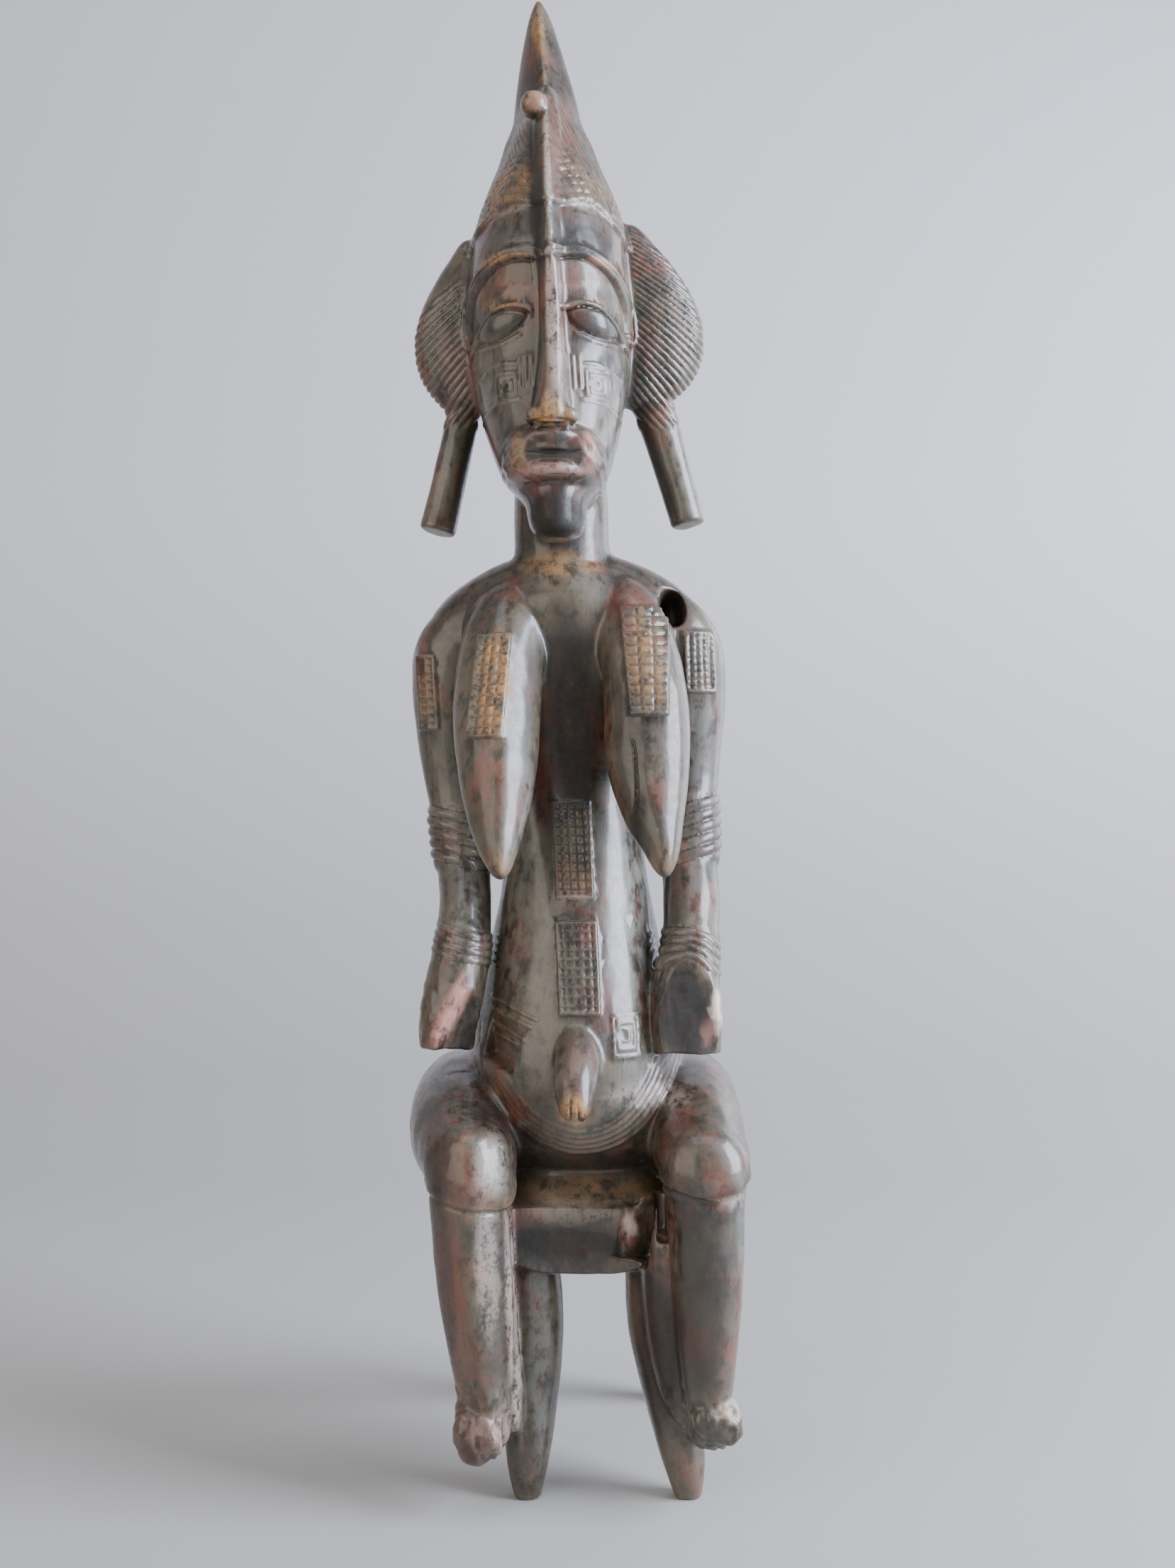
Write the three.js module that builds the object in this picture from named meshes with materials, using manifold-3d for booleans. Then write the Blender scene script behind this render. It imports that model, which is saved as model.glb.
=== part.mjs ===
// A seated female figure on a four-legged stool, carved from one block of dark wood.
// Millimetres, +Z up. The figure faces -Y, and +X is on the right of someone who looks at its face.
import * as THREE from 'three';
import { mergeVertices } from 'three/addons/utils/BufferGeometryUtils.js';
import Module from 'manifold-3d';

const wasm = await Module();
wasm.setup();

// Driving dimensions
const TOTAL_HEIGHT = 600;
const LEAN = 0.0467; // sideways shift towards -X for each millimetre of height
const CHIN_HEIGHT = 372;
const FACE_HEIGHT = 127; // chin to hairline
const FACE_MIDDLE = -2.2; // the face is carved a little off the line of the crest

// Sections of upright masses: [height, centre x, centre y, half width, front, back, roundness]
const TORSO = [
  [111, -4, 12, 32, 2, 30, 2.2],
  [118, -4, 10, 36, 8, 36, 2.2],
  [124, -4.4, 8, 39.5, 27, 41, 2.1],
  [130, -4.7, 7, 41.4, 37.5, 42, 2.05],
  [138, -5, 6, 43, 44, 41, 2],
  [150, -5, 5, 44, 48, 38, 2],
  [170, -5, 5, 42.5, 50, 34, 2],
  [192, -4, 5, 39, 46, 30, 2],
  [216, -2.8, 5, 34, 40, 26, 2],
  [238, -1.9, 5, 29.7, 34.5, 23, 2.1],
  [257, -1.8, 5, 28, 31, 23, 2.1],
  [276, -2.5, 5, 27.5, 28, 24, 2.2],
  [306, -1.5, 5, 31, 25, 28, 2.3],
  [332, -1, 5, 35, 26, 30, 2.3],
  [350, -1, 5, 33, 28, 27, 2.1],
  [363, -1, 5, 24, 22, 22, 2.1],
  [372, -1, 5, 14, 12, 14, 2],
];

// Hips behind the belly, between the thighs
const PELVIS = [
  [112, -4, 20, 46, 14, 32, 2.4],
  [124, -4, 19, 54, 20, 36, 2.3],
  [136, -4, 17, 56, 26, 37, 2.2],
  [150, -4, 14, 55, 28, 35, 2.1],
  [162, -4, 11, 49, 26, 31, 2],
  [172, -4, 9, 41, 24, 26, 2],
];

const NECK = [
  [352, -1, 5, 22, 21, 22, 2],
  [372, -1, 5, 19.6, 19, 20, 2],
  [394, -0.5, 5, 19.2, 18, 20, 2],
  [414, 0, 5, 18, 17, 22, 2],
];

const HEAD = [
  [372, -1.9, -31, 5, 8, 7, 2],
  [375, -2, -29.5, 9.4, 15.5, 12, 2],
  [380, -2, -26.5, 11.2, 20.5, 16, 2],
  [387, -2.1, -22, 12.4, 24.5, 21, 2.1],
  [393, -2.2, -17, 16.4, 28, 25, 2.3],
  [398, -2.2, -14, 20.4, 31, 28, 2.3],
  [411, -2.4, -9, 25, 34, 34, 2.2],
  [426, -2.3, -5, 28.6, 36.5, 38, 2.2],
  [441, -2.2, -2, 31.2, 38, 38, 2.2],
  [456, -2, 0, 32.6, 38.5, 37, 2.2],
  [471, -1.6, 1, 33, 41, 35, 2.2],
  [486, -1, 2, 31.8, 42.5, 33, 2.1],
  [499, 0, 3, 30, 41, 31, 2],
];

// The coiffure stands a little proud of the brow and draws up into a sharp-edged crest
const COIFFURE_STEP = 1.8;
const COIFFURE = [
  [478, -1.2, 2, 32, 41, 34, 2.1],
  [490, -0.5, 2.5, 31.6, 41.5, 32.5, 2],
  [499, 0.2, 3, 29.8, 40.5, 31, 1.95],
  [508, 0.6, 3.5, 27.2, 38.5, 29, 1.85],
  [517, 0.8, 4, 23.8, 35.5, 27, 1.75],
  [526, 1, 4.5, 20.2, 32.5, 24, 1.6],
  [535, 1.1, 5, 17, 29.5, 21, 1.45],
  [543, 1.2, 5.5, 15.2, 27, 19, 1.32],
  [549, 1.2, 6, 14, 24.5, 17.5, 1.28],
  [556, 1, 7, 12.9, 19, 15.5, 1.25],
  [568, 0.6, 8, 10.6, 14.5, 13, 1.25],
  [582, 0.2, 9, 7.4, 9.8, 8.8, 1.3],
  [593, 0, 9.5, 4.3, 5.4, 5, 1.6],
  [600, -0.2, 10, 1.2, 1.6, 1.6, 2],
];

// Ridge of the crest and nose: [height, centre x, front y, half width at its foot and at its edge]
const RIDGE = [
  [413.5, -2.4, -55.6, 9.5, 3.4],
  [418, -2.2, -57.2, 8.4, 3.2],
  [427, -1.6, -54.5, 6.6, 2.9],
  [441, -0.8, -50.5, 5.4, 2.7],
  [456, -0.3, -47.4, 5, 2.6],
  [471, 0, -46.6, 5.2, 2],
  [486, -0.1, -46, 5.4, 0.9],
  [502, -0.1, -41.6, 5.2, 0.4],
  [520, 0.6, -34.4, 5, 0.4],
  [538, 1.2, -27, 4.8, 0.4],
  [549, 1.6, -22.6, 4.4, 0.4],
  [556, 1.6, -16, 3.6, 0.4],
];

// Sections of limbs: [centre x, y, height, half width, half depth ahead, half depth behind].
// "Ahead" is to the front on an upright limb, and upwards on one that runs forwards.
const LEFT = {
  arm: [
    [-38.5, 5, 343, 13, 15, 17],
    [-46.6, 5, 330, 16.6, 17, 18],
    [-50.1, 6, 312, 14.8, 16, 17],
    [-49.8, 7, 290, 13.4, 14, 15],
    [-48, 6, 267, 12, 12.5, 13],
    [-46.5, 1, 244, 11.5, 12, 12.5],
    [-45, -8, 229, 11.5, 12, 12],
    [-47, -17, 213, 11.5, 12, 12],
    [-51, -23, 198, 11.8, 12, 12],
    [-54, -26, 184, 11.2, 12, 13],
    [-54.6, -27, 174, 10.8, 12, 13],
  ],
  bracelet: [4.05, 5],
  wristlet: [6.75, 7.3],
  breast: [
    [-19, 2, 355, 12, 11, 12],
    [-23.5, -11, 343, 16, 13, 14],
    [-27, -22, 326, 17, 13.5, 14],
    [-29, -30, 306, 17.2, 14, 14],
    [-29.5, -37, 286, 15.8, 13.5, 13.5],
    [-30, -43, 268, 12.6, 12, 12],
    [-30, -48, 254, 8.4, 9, 9],
    [-29.6, -52, 245, 4, 5, 5],
    [-29.4, -53, 242, 1.4, 2, 2],
  ],
  thigh: [
    [-40, 46, 138, 18, 24, 22],
    [-46, 26, 139, 25, 28, 24],
    [-48.6, 4, 138.5, 24.6, 28.5, 23.5],
    [-49.6, -16, 137, 22.4, 25, 21],
    [-48.4, -33, 135, 18.8, 20.5, 16.5],
    [-47, -46, 134, 16, 15.5, 12.6],
    [-46.6, -56, 133.5, 9.5, 8.5, 8],
  ],
  shin: [
    [-46.6, -46, 149.5, 5, 5, 5],
    [-46.3, -46, 145.5, 13, 12.4, 13],
    [-46.2, -46.4, 137, 16.4, 15.8, 16],
    [-46.4, -46.7, 126, 16.8, 16, 16],
    [-47.5, -47, 118, 15, 14.2, 15],
    [-46.9, -47, 92, 14.6, 13.8, 15],
    [-45.9, -46, 68, 13.1, 13.2, 15],
    [-45, -44.4, 44, 10.4, 11.4, 12.5],
    [-45.5, -44, 28, 8.4, 9, 10],
    [-46, -44, 23, 5, 6, 6],
  ],
  shinRoundness: 1.6,
  web: [
    [-37.4, -40, 116, 6, 9, 14],
    [-37.2, -40, 80, 5.8, 9.5, 14],
    [-36.4, -38.5, 55, 5.6, 9, 13],
    [-36.2, -37, 36, 5.2, 8, 10],
    [-37, -36, 28, 3, 4, 5],
  ],
  footStub: [[-48, -44, 40, 7, 7, 7], [-47.5, -52, 33, 8.6, 8, 8], [-46, -59, 28, 7.6, 6.6, 6.5]],
  legTop: -25.5,
  legFoot: -31.4,
  braid: [
    [-34, 10, 452, 7, 7, 7],
    [-37.5, 10, 436, 7, 7, 7],
    [-42, 9, 418, 6.8, 6.8, 6.8],
    [-47, 7, 398, 7, 7, 7],
    [-51.7, 5, 380.5, 7.5, 7.5, 7.5],
  ],
  // half-moon of hair: [x, middle height, half height, half depth]
  lobe: [[-18, 466, 30, 12], [-34, 465, 36, 13.5], [-43, 460, 31, 12.5], [-50, 457.5, 22.5, 10],
    [-55, 456, 13.5, 6.5], [-57.5, 455.5, 5.5, 2.5]],
};

const RIGHT = {
  arm: [
    [40, 5, 346, 14, 15, 17],
    [46.5, 5, 332, 16.5, 17, 18],
    [48.4, 6, 312, 14.4, 16, 17],
    [46.8, 7, 291, 13.2, 14, 15],
    [45.6, 6, 272, 12.2, 12.5, 13],
    [44.2, 1, 247, 12, 12, 12.5],
    [43.6, -8, 231, 12.4, 12, 12],
    [42.2, -17, 214, 12, 12, 12],
    [40, -24, 199, 13.4, 13, 12],
    [39.4, -27, 184, 13.8, 14, 14],
    [39, -27, 173, 13.2, 14, 14],
  ],
  bracelet: [4.05, 5.05],
  wristlet: [6.75, 7.3],
  breast: [
    [20, 2, 356, 12, 11, 12],
    [24.8, -11, 344, 15, 13, 14],
    [28, -22, 326, 15.6, 13.5, 14],
    [29, -30, 306, 16.4, 14, 14],
    [28.2, -37, 286, 16, 13.5, 13.5],
    [29.3, -43, 267, 12, 12, 12],
    [31.4, -48, 254, 7.4, 9, 9],
    [32.2, -52, 246, 3.8, 5, 5],
    [32.4, -53, 243, 1.4, 2, 2],
  ],
  thigh: [
    [36, 46, 138, 18, 24, 22],
    [39, 26, 139, 21.5, 28, 24],
    [40.6, 4, 138.5, 20.6, 28.5, 23],
    [41.4, -16, 137, 19.6, 25.5, 20],
    [42.2, -33, 135, 17.8, 21, 16],
    [42.6, -46, 134.4, 16, 15.5, 11.5],
    [42.6, -56, 134, 9.5, 8.5, 7],
  ],
  shin: [
    [42.6, -46, 148.5, 5, 5, 5],
    [42.6, -46, 144.5, 12.4, 11.4, 12.5],
    [42.7, -46, 136, 16.2, 15, 16],
    [42.8, -46, 126.5, 16.8, 15.4, 16],
    [43, -46, 121, 14.8, 13.2, 15],
    [41.9, -46, 92, 13.8, 13.2, 15],
    [40.5, -45, 68, 12.1, 12.8, 15],
    [39.9, -43.4, 46, 9.9, 11.4, 12.5],
    [40, -42, 30, 8, 9, 10],
    [40, -42, 24, 5, 6, 6],
  ],
  shinRoundness: 2.2,
  web: [
    [28.5, -34.5, 118, 11, 12, 14],
    [28.5, -34.5, 80, 11.6, 13, 15],
    [29.5, -34, 55, 10.4, 12, 13],
    [32, -34, 38, 8, 10, 10],
    [35, -34, 29, 3, 4, 5],
  ],
  footStub: [[41, -43, 44, 7, 7, 7], [42.5, -50, 38, 9, 7, 8], [43, -57, 34, 7.8, 6, 6.5]],
  legTop: 22,
  legFoot: 31.5,
  braid: [
    [35, 10, 455, 9, 7.5, 7.5],
    [38, 10, 438, 8.8, 7.2, 7.2],
    [42.6, 9, 420, 8, 6.8, 6.8],
    [47.5, 7, 400, 7.4, 7, 7],
    [51.2, 5, 383.5, 7.2, 7.4, 7.4],
  ],
  // half-moon of hair: [x, middle height, half height, half depth]
  lobe: [[18, 468, 32, 12], [33.5, 469, 38.5, 13.5], [45, 465.5, 31, 12.5], [52, 463, 24, 10],
    [58, 461.5, 15, 6.5], [61, 461, 6.5, 2.5]],
};

// The shoulders run across as one limb from arm to arm
const YOKE = [
  [-46, 5, 335, 15, 15, 17],
  [-34, 5, 344, 17, 17, 18],
  [-17, 5, 350, 20, 18, 19],
  [0, 5, 352, 21, 18, 19],
  [17, 5, 351, 20, 18, 19],
  [34, 5, 346, 17, 17, 18],
  [46, 5, 336, 15, 15, 17],
];

const HIPS = [
  { centre: [-32, 32, 135], radii: [42, 26, 29] },
  { centre: [24, 32, 136], radii: [38, 26, 29] },
];

const NAVEL = [
  [-3.6, -35, 180, 8, 9, 12],
  [-4, -45.5, 172, 8.6, 9, 10],
  [-4.8, -54.5, 164.5, 8, 8, 8],
  [-5.5, -60.5, 156.5, 6.2, 6, 5.8],
  [-5.8, -62.8, 152.5, 3.2, 3, 2.8],
];

// Stool: a thin rim over a body with a rounded underside, on four legs that splay towards their feet.
// The rows run back from the front edge: [x, y, middle height, half width, depth below and above it].
const RIM = [
  [-7, -37, 110, 34.5, 4, 4],
  [-6.5, -26, 110.5, 47, 4.2, 4.2],
  [-5, -8, 111.5, 58, 5, 5],
  [-5, 25, 112, 66.5, 5.5, 5],
  [-5, 58, 111, 59, 5.5, 5],
  [-5, 72, 110.5, 48.5, 5.5, 5],
];
const BOWL = [
  [-7, -36.6, 106, 33, 18, 6],
  [-6.5, -25, 106.5, 45, 19.5, 6],
  [-5, -5, 107, 54, 20, 6],
  [-5, 25, 107, 58, 20, 6],
  [-5, 56, 107, 51, 19, 6],
  [-5, 70, 107, 43, 17, 6],
];
const LEG = {
  frontTop: -20, frontFoot: -28.5, backTop: 58, backFoot: 80, radius: 10.5, foot: 4.6, spare: 3,
};

// Smooth curve through rows of numbers that are led by their place: a cubic between each two rows,
// with its slope at a row set by the rows on both sides
function through(rows, place) {
  const last = rows.length - 1;
  let i = 0;
  while (i < last - 1 && place > rows[i + 1][0]) i += 1;
  const [a, b] = [rows[i], rows[i + 1]];
  const [before, after] = [rows[Math.max(i - 1, 0)], rows[Math.min(i + 2, last)]];
  const gap = b[0] - a[0];
  const t = THREE.MathUtils.clamp((place - a[0]) / gap, 0, 1);
  return a.slice(1).map((value, k) => {
    const slopeA = ((b[k + 1] - before[k + 1]) / (b[0] - before[0])) * gap;
    const slopeB = ((after[k + 1] - value) / (after[0] - a[0])) * gap;
    const [t2, t3] = [t * t, t * t * t];
    return (2 * t3 - 3 * t2 + 1) * value + (t3 - 2 * t2 + t) * slopeA
      + (3 * t2 - 2 * t3) * b[k + 1] + (t3 - t2) * slopeB;
  });
}

// A point of a superellipse: roundness 2 is an ellipse, below it a lozenge, above it a rounded square
function oval(turn, roundness) {
  const angle = turn * 2 * Math.PI;
  const bend = (value) => Math.sign(value) * Math.abs(value) ** (2 / roundness);
  return [bend(Math.cos(angle)), bend(Math.sin(angle))];
}

// Surface of an upright mass, level section by level section: turn 0.25 is its back, 0.75 its front
function upright(rows, proud = () => 0) {
  return (height, turn) => {
    const [x, y, width, front, back, roundness] = through(rows, height);
    const [c, s] = oval(turn, roundness);
    const extra = proud(height, turn);
    const depth = s > 0 ? back : front;
    return new THREE.Vector3(x + (width + extra) * c, y + (depth + extra) * s, height);
  };
}

// Surface of a limb along its centre line: place counts its rows, turn 0.25 is its "ahead" side.
// Its sections are kept from twisting by a direction that the centre line never takes.
const [ACROSS, UP] = [new THREE.Vector3(1, 0, 0), new THREE.Vector3(0, 0, 1)];
function limb(rows, roundness = 2, proud = () => 0, level = ACROSS) {
  const placed = rows.map((row, i) => [i, ...row]);
  const centre = (place) => new THREE.Vector3(...through(placed, place).slice(0, 3));
  return (place, turn) => {
    const [, , , width, ahead, behind] = through(placed, place);
    const step = 0.02;
    const last = rows.length - 1;
    const along = centre(Math.min(place + step, last)).sub(centre(Math.max(place - step, 0))).normalize();
    const depthWay = along.clone().cross(level).normalize();
    const widthWay = depthWay.clone().cross(along);
    const [c, s] = oval(turn, roundness);
    const extra = proud(place, turn);
    return centre(place)
      .addScaledVector(widthWay, (width + extra) * c)
      .addScaledVector(depthWay, ((s > 0 ? ahead : behind) + extra) * s);
  };
}

// Closed skin over a surface between two places, with both ends drawn to their middles
function skin(surface, places, sides) {
  const rings = places.map((place) => (
    Array.from({ length: sides }, (_, k) => surface(place, k / sides))
  ));
  return closeRings(rings);
}

function closeRings(rings) {
  const sides = rings[0].length;
  const points = rings.flat();
  const faces = [];
  for (let r = 0; r < rings.length - 1; r += 1) {
    for (let k = 0; k < sides; k += 1) {
      const [a, b] = [r * sides + k, r * sides + ((k + 1) % sides)];
      faces.push(a, b, b + sides, a, b + sides, a + sides);
    }
  }
  const middle = (ring) => ring.reduce((sum, p) => sum.add(p), new THREE.Vector3()).divideScalar(sides);
  const first = points.length;
  points.push(middle(rings[0]), middle(rings.at(-1)));
  const top = (rings.length - 1) * sides;
  for (let k = 0; k < sides; k += 1) {
    const next = (k + 1) % sides;
    faces.push(first, next, k, first + 1, top + k, top + next);
  }
  return solidFrom(points, faces);
}

// A manifold solid from points and faces, turned the right way out
function solidFrom(points, faces) {
  let volume = 0;
  for (let f = 0; f < faces.length; f += 3) {
    const [a, b, c] = [points[faces[f]], points[faces[f + 1]], points[faces[f + 2]]];
    volume += a.dot(b.clone().cross(c));
  }
  if (volume < 0) {
    for (let f = 0; f < faces.length; f += 3) [faces[f], faces[f + 1]] = [faces[f + 1], faces[f]];
  }
  return toManifold(geometryFrom(points, faces));
}

function geometryFrom(points, faces) {
  const geometry = new THREE.BufferGeometry();
  const numbers = points.flatMap((point) => point.toArray());
  geometry.setAttribute('position', new THREE.Float32BufferAttribute(numbers, 3));
  geometry.setIndex(faces);
  return geometry;
}

function toManifold(geometry) {
  const bare = geometry.clone();
  bare.deleteAttribute('normal');
  bare.deleteAttribute('uv');
  const merged = mergeVertices(bare, SAME_POINT);
  return new wasm.Manifold(new wasm.Mesh({
    numProp: 3,
    vertProperties: new Float32Array(merged.attributes.position.array),
    triVerts: new Uint32Array(merged.index.array),
  }));
}

function toGeometry(manifold) {
  const { vertProperties, triVerts } = manifold.getMesh();
  const points = Array.from({ length: vertProperties.length / 3 }, (_, i) => (
    new THREE.Vector3().fromArray(vertProperties, i * 3)
  ));
  const faces = Array.from({ length: triVerts.length / 3 }, (_, f) => (
    Array.from(triVerts.slice(f * 3, f * 3 + 3))
  ));
  return geometryFrom(points, withoutSlivers(points, faces).flat());
}

// Faces round each point, and the points next to it
function surroundings(faces) {
  const around = new Map();
  const at = (i) => around.get(i) ?? around.set(i, { faces: new Set(), points: new Set() }).get(i);
  faces.forEach((face, f) => face.forEach((point, k) => {
    at(point).faces.add(f);
    at(point).points.add(face[(k + 1) % 3]).add(face[(k + 2) % 3]);
  }));
  return around;
}

// Crossing surfaces leave very short edges and very thin faces. A short edge is drawn to one of its
// ends, and the long edge of a thin face is turned to run the other way across its neighbour.
const SAME_POINT = 1e-4;
const SHORTEST_EDGE = 0.22;
const THINNEST_FACE = 0.03;
const CLEANING_PASSES = { fewest: 5, most: 12 };

function withoutSlivers(points, faces) {
  let current = faces;
  for (let pass = 0; pass < CLEANING_PASSES.most; pass += 1) {
    const closed = closeShortEdges(points, current);
    const turned = turnLongEdges(points, closed);
    if (turned.length === current.length && pass >= CLEANING_PASSES.fewest) return turned;
    current = turned;
  }
  return current;
}

function closeShortEdges(points, faces) {
  const around = surroundings(faces);
  const drawnTo = new Map();
  const touched = new Set();
  // Twice a face's area along its normal, with one of its points moved
  const areaOf = (face, from, to) => {
    const [a, b, c] = face.map((i) => points[i === from ? to : i]);
    return b.clone().sub(a).cross(c.clone().sub(a));
  };
  const [speck, leastKept] = [0.02, 0.2];
  for (const [a, near] of around) {
    for (const b of near.points) {
      if (touched.has(a) || touched.has(b) || points[a].distanceTo(points[b]) > SHORTEST_EDGE) continue;
      const shared = [...near.points].filter((i) => around.get(b).points.has(i));
      const moved = [...around.get(b).faces].filter((f) => !faces[f].includes(a));
      const flips = moved.some((f) => {
        const before = areaOf(faces[f]);
        return before.length() > speck && before.dot(areaOf(faces[f], b, a)) <= leastKept * before.lengthSq();
      });
      if (shared.length !== 2 || flips) continue;
      drawnTo.set(b, a);
      for (const i of [a, b, ...near.points, ...around.get(b).points]) touched.add(i);
    }
  }
  return faces
    .map((face) => face.map((i) => drawnTo.get(i) ?? i))
    .filter(([a, b, c]) => a !== b && b !== c && c !== a);
}

function turnLongEdges(points, faces) {
  const result = faces.map((face) => [...face]);
  const around = surroundings(result);
  const touched = new Set();
  result.forEach((face, f) => {
    const lengths = face.map((i, k) => points[i].distanceTo(points[face[(k + 1) % 3]]));
    const k = lengths.indexOf(Math.max(...lengths));
    const [a, b, c] = [face[k], face[(k + 1) % 3], face[(k + 2) % 3]];
    const area = points[b].clone().sub(points[a]).cross(points[c].clone().sub(points[a])).length();
    if (area / lengths[k] > THINNEST_FACE) return;
    const shares = (g) => result[g].includes(a) && result[g].includes(b);
    const other = [...around.get(a).faces].find((g) => g !== f && shares(g));
    if (other === undefined) return;
    const d = result[other].find((i) => i !== a && i !== b);
    if ([a, b, c, d].some((i) => touched.has(i)) || around.get(c).points.has(d)) return;
    result[f] = [a, d, c];
    result[other] = [d, b, c];
    for (const i of [a, b, c, d]) touched.add(i);
  });
  return result;
}

const steps = (from, to, count) => (
  Array.from({ length: count + 1 }, (_, i) => from + ((to - from) * i) / count)
);
const rowHeights = (rows) => rows.map((row) => row[0]);
const rowPlaces = (rows) => steps(0, rows.length - 1, rows.length - 1);
const joined = (solids) => solids.reduce((sum, solid) => sum.add(solid));

// Way out of a surface at a point, from its two slopes
function outward(surface, place, turn, spread) {
  const alongPlace = surface(place + spread, turn).sub(surface(place - spread, turn));
  const alongTurn = surface(place, turn + 0.01).sub(surface(place, turn - 0.01));
  return alongTurn.cross(alongPlace).normalize();
}

// Raised scar panel: bars across a low pad that follows the surface under it
const PANEL = { sunk: -2.5, low: 0.4, high: 1.3 };
function panel(surface, places, turns, bars, spread) {
  const rings = steps(...places, bars * 2 + 1).map((place, i) => {
    const top = i % 2 === 0 ? PANEL.high : PANEL.low;
    const edge = (turn, height) => (
      surface(place, turn).addScaledVector(outward(surface, place, turn, spread), height)
    );
    const [from, to] = turns;
    const upper = steps(from, to, 2).map((turn) => edge(turn, top));
    return [...upper, edge(to, PANEL.sunk), edge(from, PANEL.sunk)];
  });
  return closeRings(rings);
}

// A bead of round section along a list of points, with its ends drawn to a point
function bead(points, radius) {
  const curve = new THREE.CatmullRomCurve3(points);
  const thinnest = 0.25;
  const rows = steps(0, 1, 5).map((share) => {
    const thick = radius * Math.max(thinnest, Math.sqrt(Math.sin(Math.PI * share)));
    return [...curve.getPoint(share).toArray(), thick, thick, thick];
  });
  return skin(limb(rows, 2, () => 0, UP), rowPlaces(rows), 4);
}

function ellipsoid({ centre, radii }, across = 12, up = 7) {
  const ball = new THREE.SphereGeometry(1, across, up);
  ball.rotateX(Math.PI / 2).scale(...radii).translate(...centre);
  return toManifold(ball);
}

// A rough block with its own turn, for breaks and chips
function cutter(size, centre, turns) {
  const block = new THREE.BoxGeometry(...size);
  block.applyMatrix4(new THREE.Matrix4().makeRotationFromEuler(new THREE.Euler(...turns)));
  block.translate(...centre);
  return toManifold(block);
}

// Height of a front feature as a share of the face, and the face surface in front of x
const faceAt = (share) => CHIN_HEIGHT + FACE_HEIGHT * share;
function frontOf(rows, x, height) {
  const [cx, cy, width, front, , roundness] = through(rows, height);
  const off = Math.min(Math.abs((x - cx) / width), 0.98);
  return new THREE.Vector3(x, cy - front * (1 - off ** roundness) ** (1 / roundness), height);
}

// The lower edge of the coiffure dips at the ridge and the temples and rises over each brow
const HAIRLINE = { sides: 490, frontRise: 13, scallop: 2.5, backDrop: 22 };
function hairline(turn) {
  const round = turn * 2 * Math.PI;
  const front = Math.max(0, -Math.sin(round));
  const back = Math.max(0, Math.sin(round));
  return HAIRLINE.sides + (HAIRLINE.frontRise + HAIRLINE.scallop * Math.cos(round * 6)) * front
    - HAIRLINE.backDrop * back;
}

// Plaits stand out at every second side, and fade where the crest turns smooth
const PLAITS = { smoothAbove: 548, fade: 30, proud: 1.1, groove: 0.6, sides: 24 };
function coiffure() {
  const plaits = (height, turn) => {
    const fade = THREE.MathUtils.clamp((PLAITS.smoothAbove - height) / PLAITS.fade, 0, 1);
    const onPlait = Math.round(turn * PLAITS.sides) % 2 === 0;
    return COIFFURE_STEP * fade * (onPlait ? PLAITS.proud : PLAITS.groove);
  };
  const surface = upright(COIFFURE, plaits);
  const heights = [499, 508, 519, 532, 543, 551, 559, 576, TOTAL_HEIGHT];
  const leastStep = 3;
  const rings = heights.map((height, i) => (
    Array.from({ length: PLAITS.sides }, (_, k) => {
      const turn = k / PLAITS.sides;
      const rise = i === 0 ? hairline(turn) : Math.max(height, hairline(turn) + leastStep * i);
      return surface(Math.min(rise, TOTAL_HEIGHT), turn);
    })
  ));
  const inside = rings[0].map((point) => point.clone().lerp(new THREE.Vector3(0, 3, point.z), 0.25));
  return closeRings([inside, ...rings]);
}

// The nose, the brow ridge and the crest's front edge are one sharp blade
const BLADE = { depth: 14, flank: 0.8, flankDepth: 4 };
function ridge() {
  const rings = RIDGE.map(([height, x, front, half, edge]) => {
    const corners = [[half, BLADE.depth], [half * BLADE.flank, BLADE.flankDepth], [edge, 0]];
    const corner = (side, deep) => new THREE.Vector3(x + side, front + deep, height);
    return [
      ...corners.map(([side, deep]) => corner(-side, deep)),
      ...corners.reverse().map(([side, deep]) => corner(side, deep)),
    ];
  });
  return closeRings(rings);
}

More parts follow.
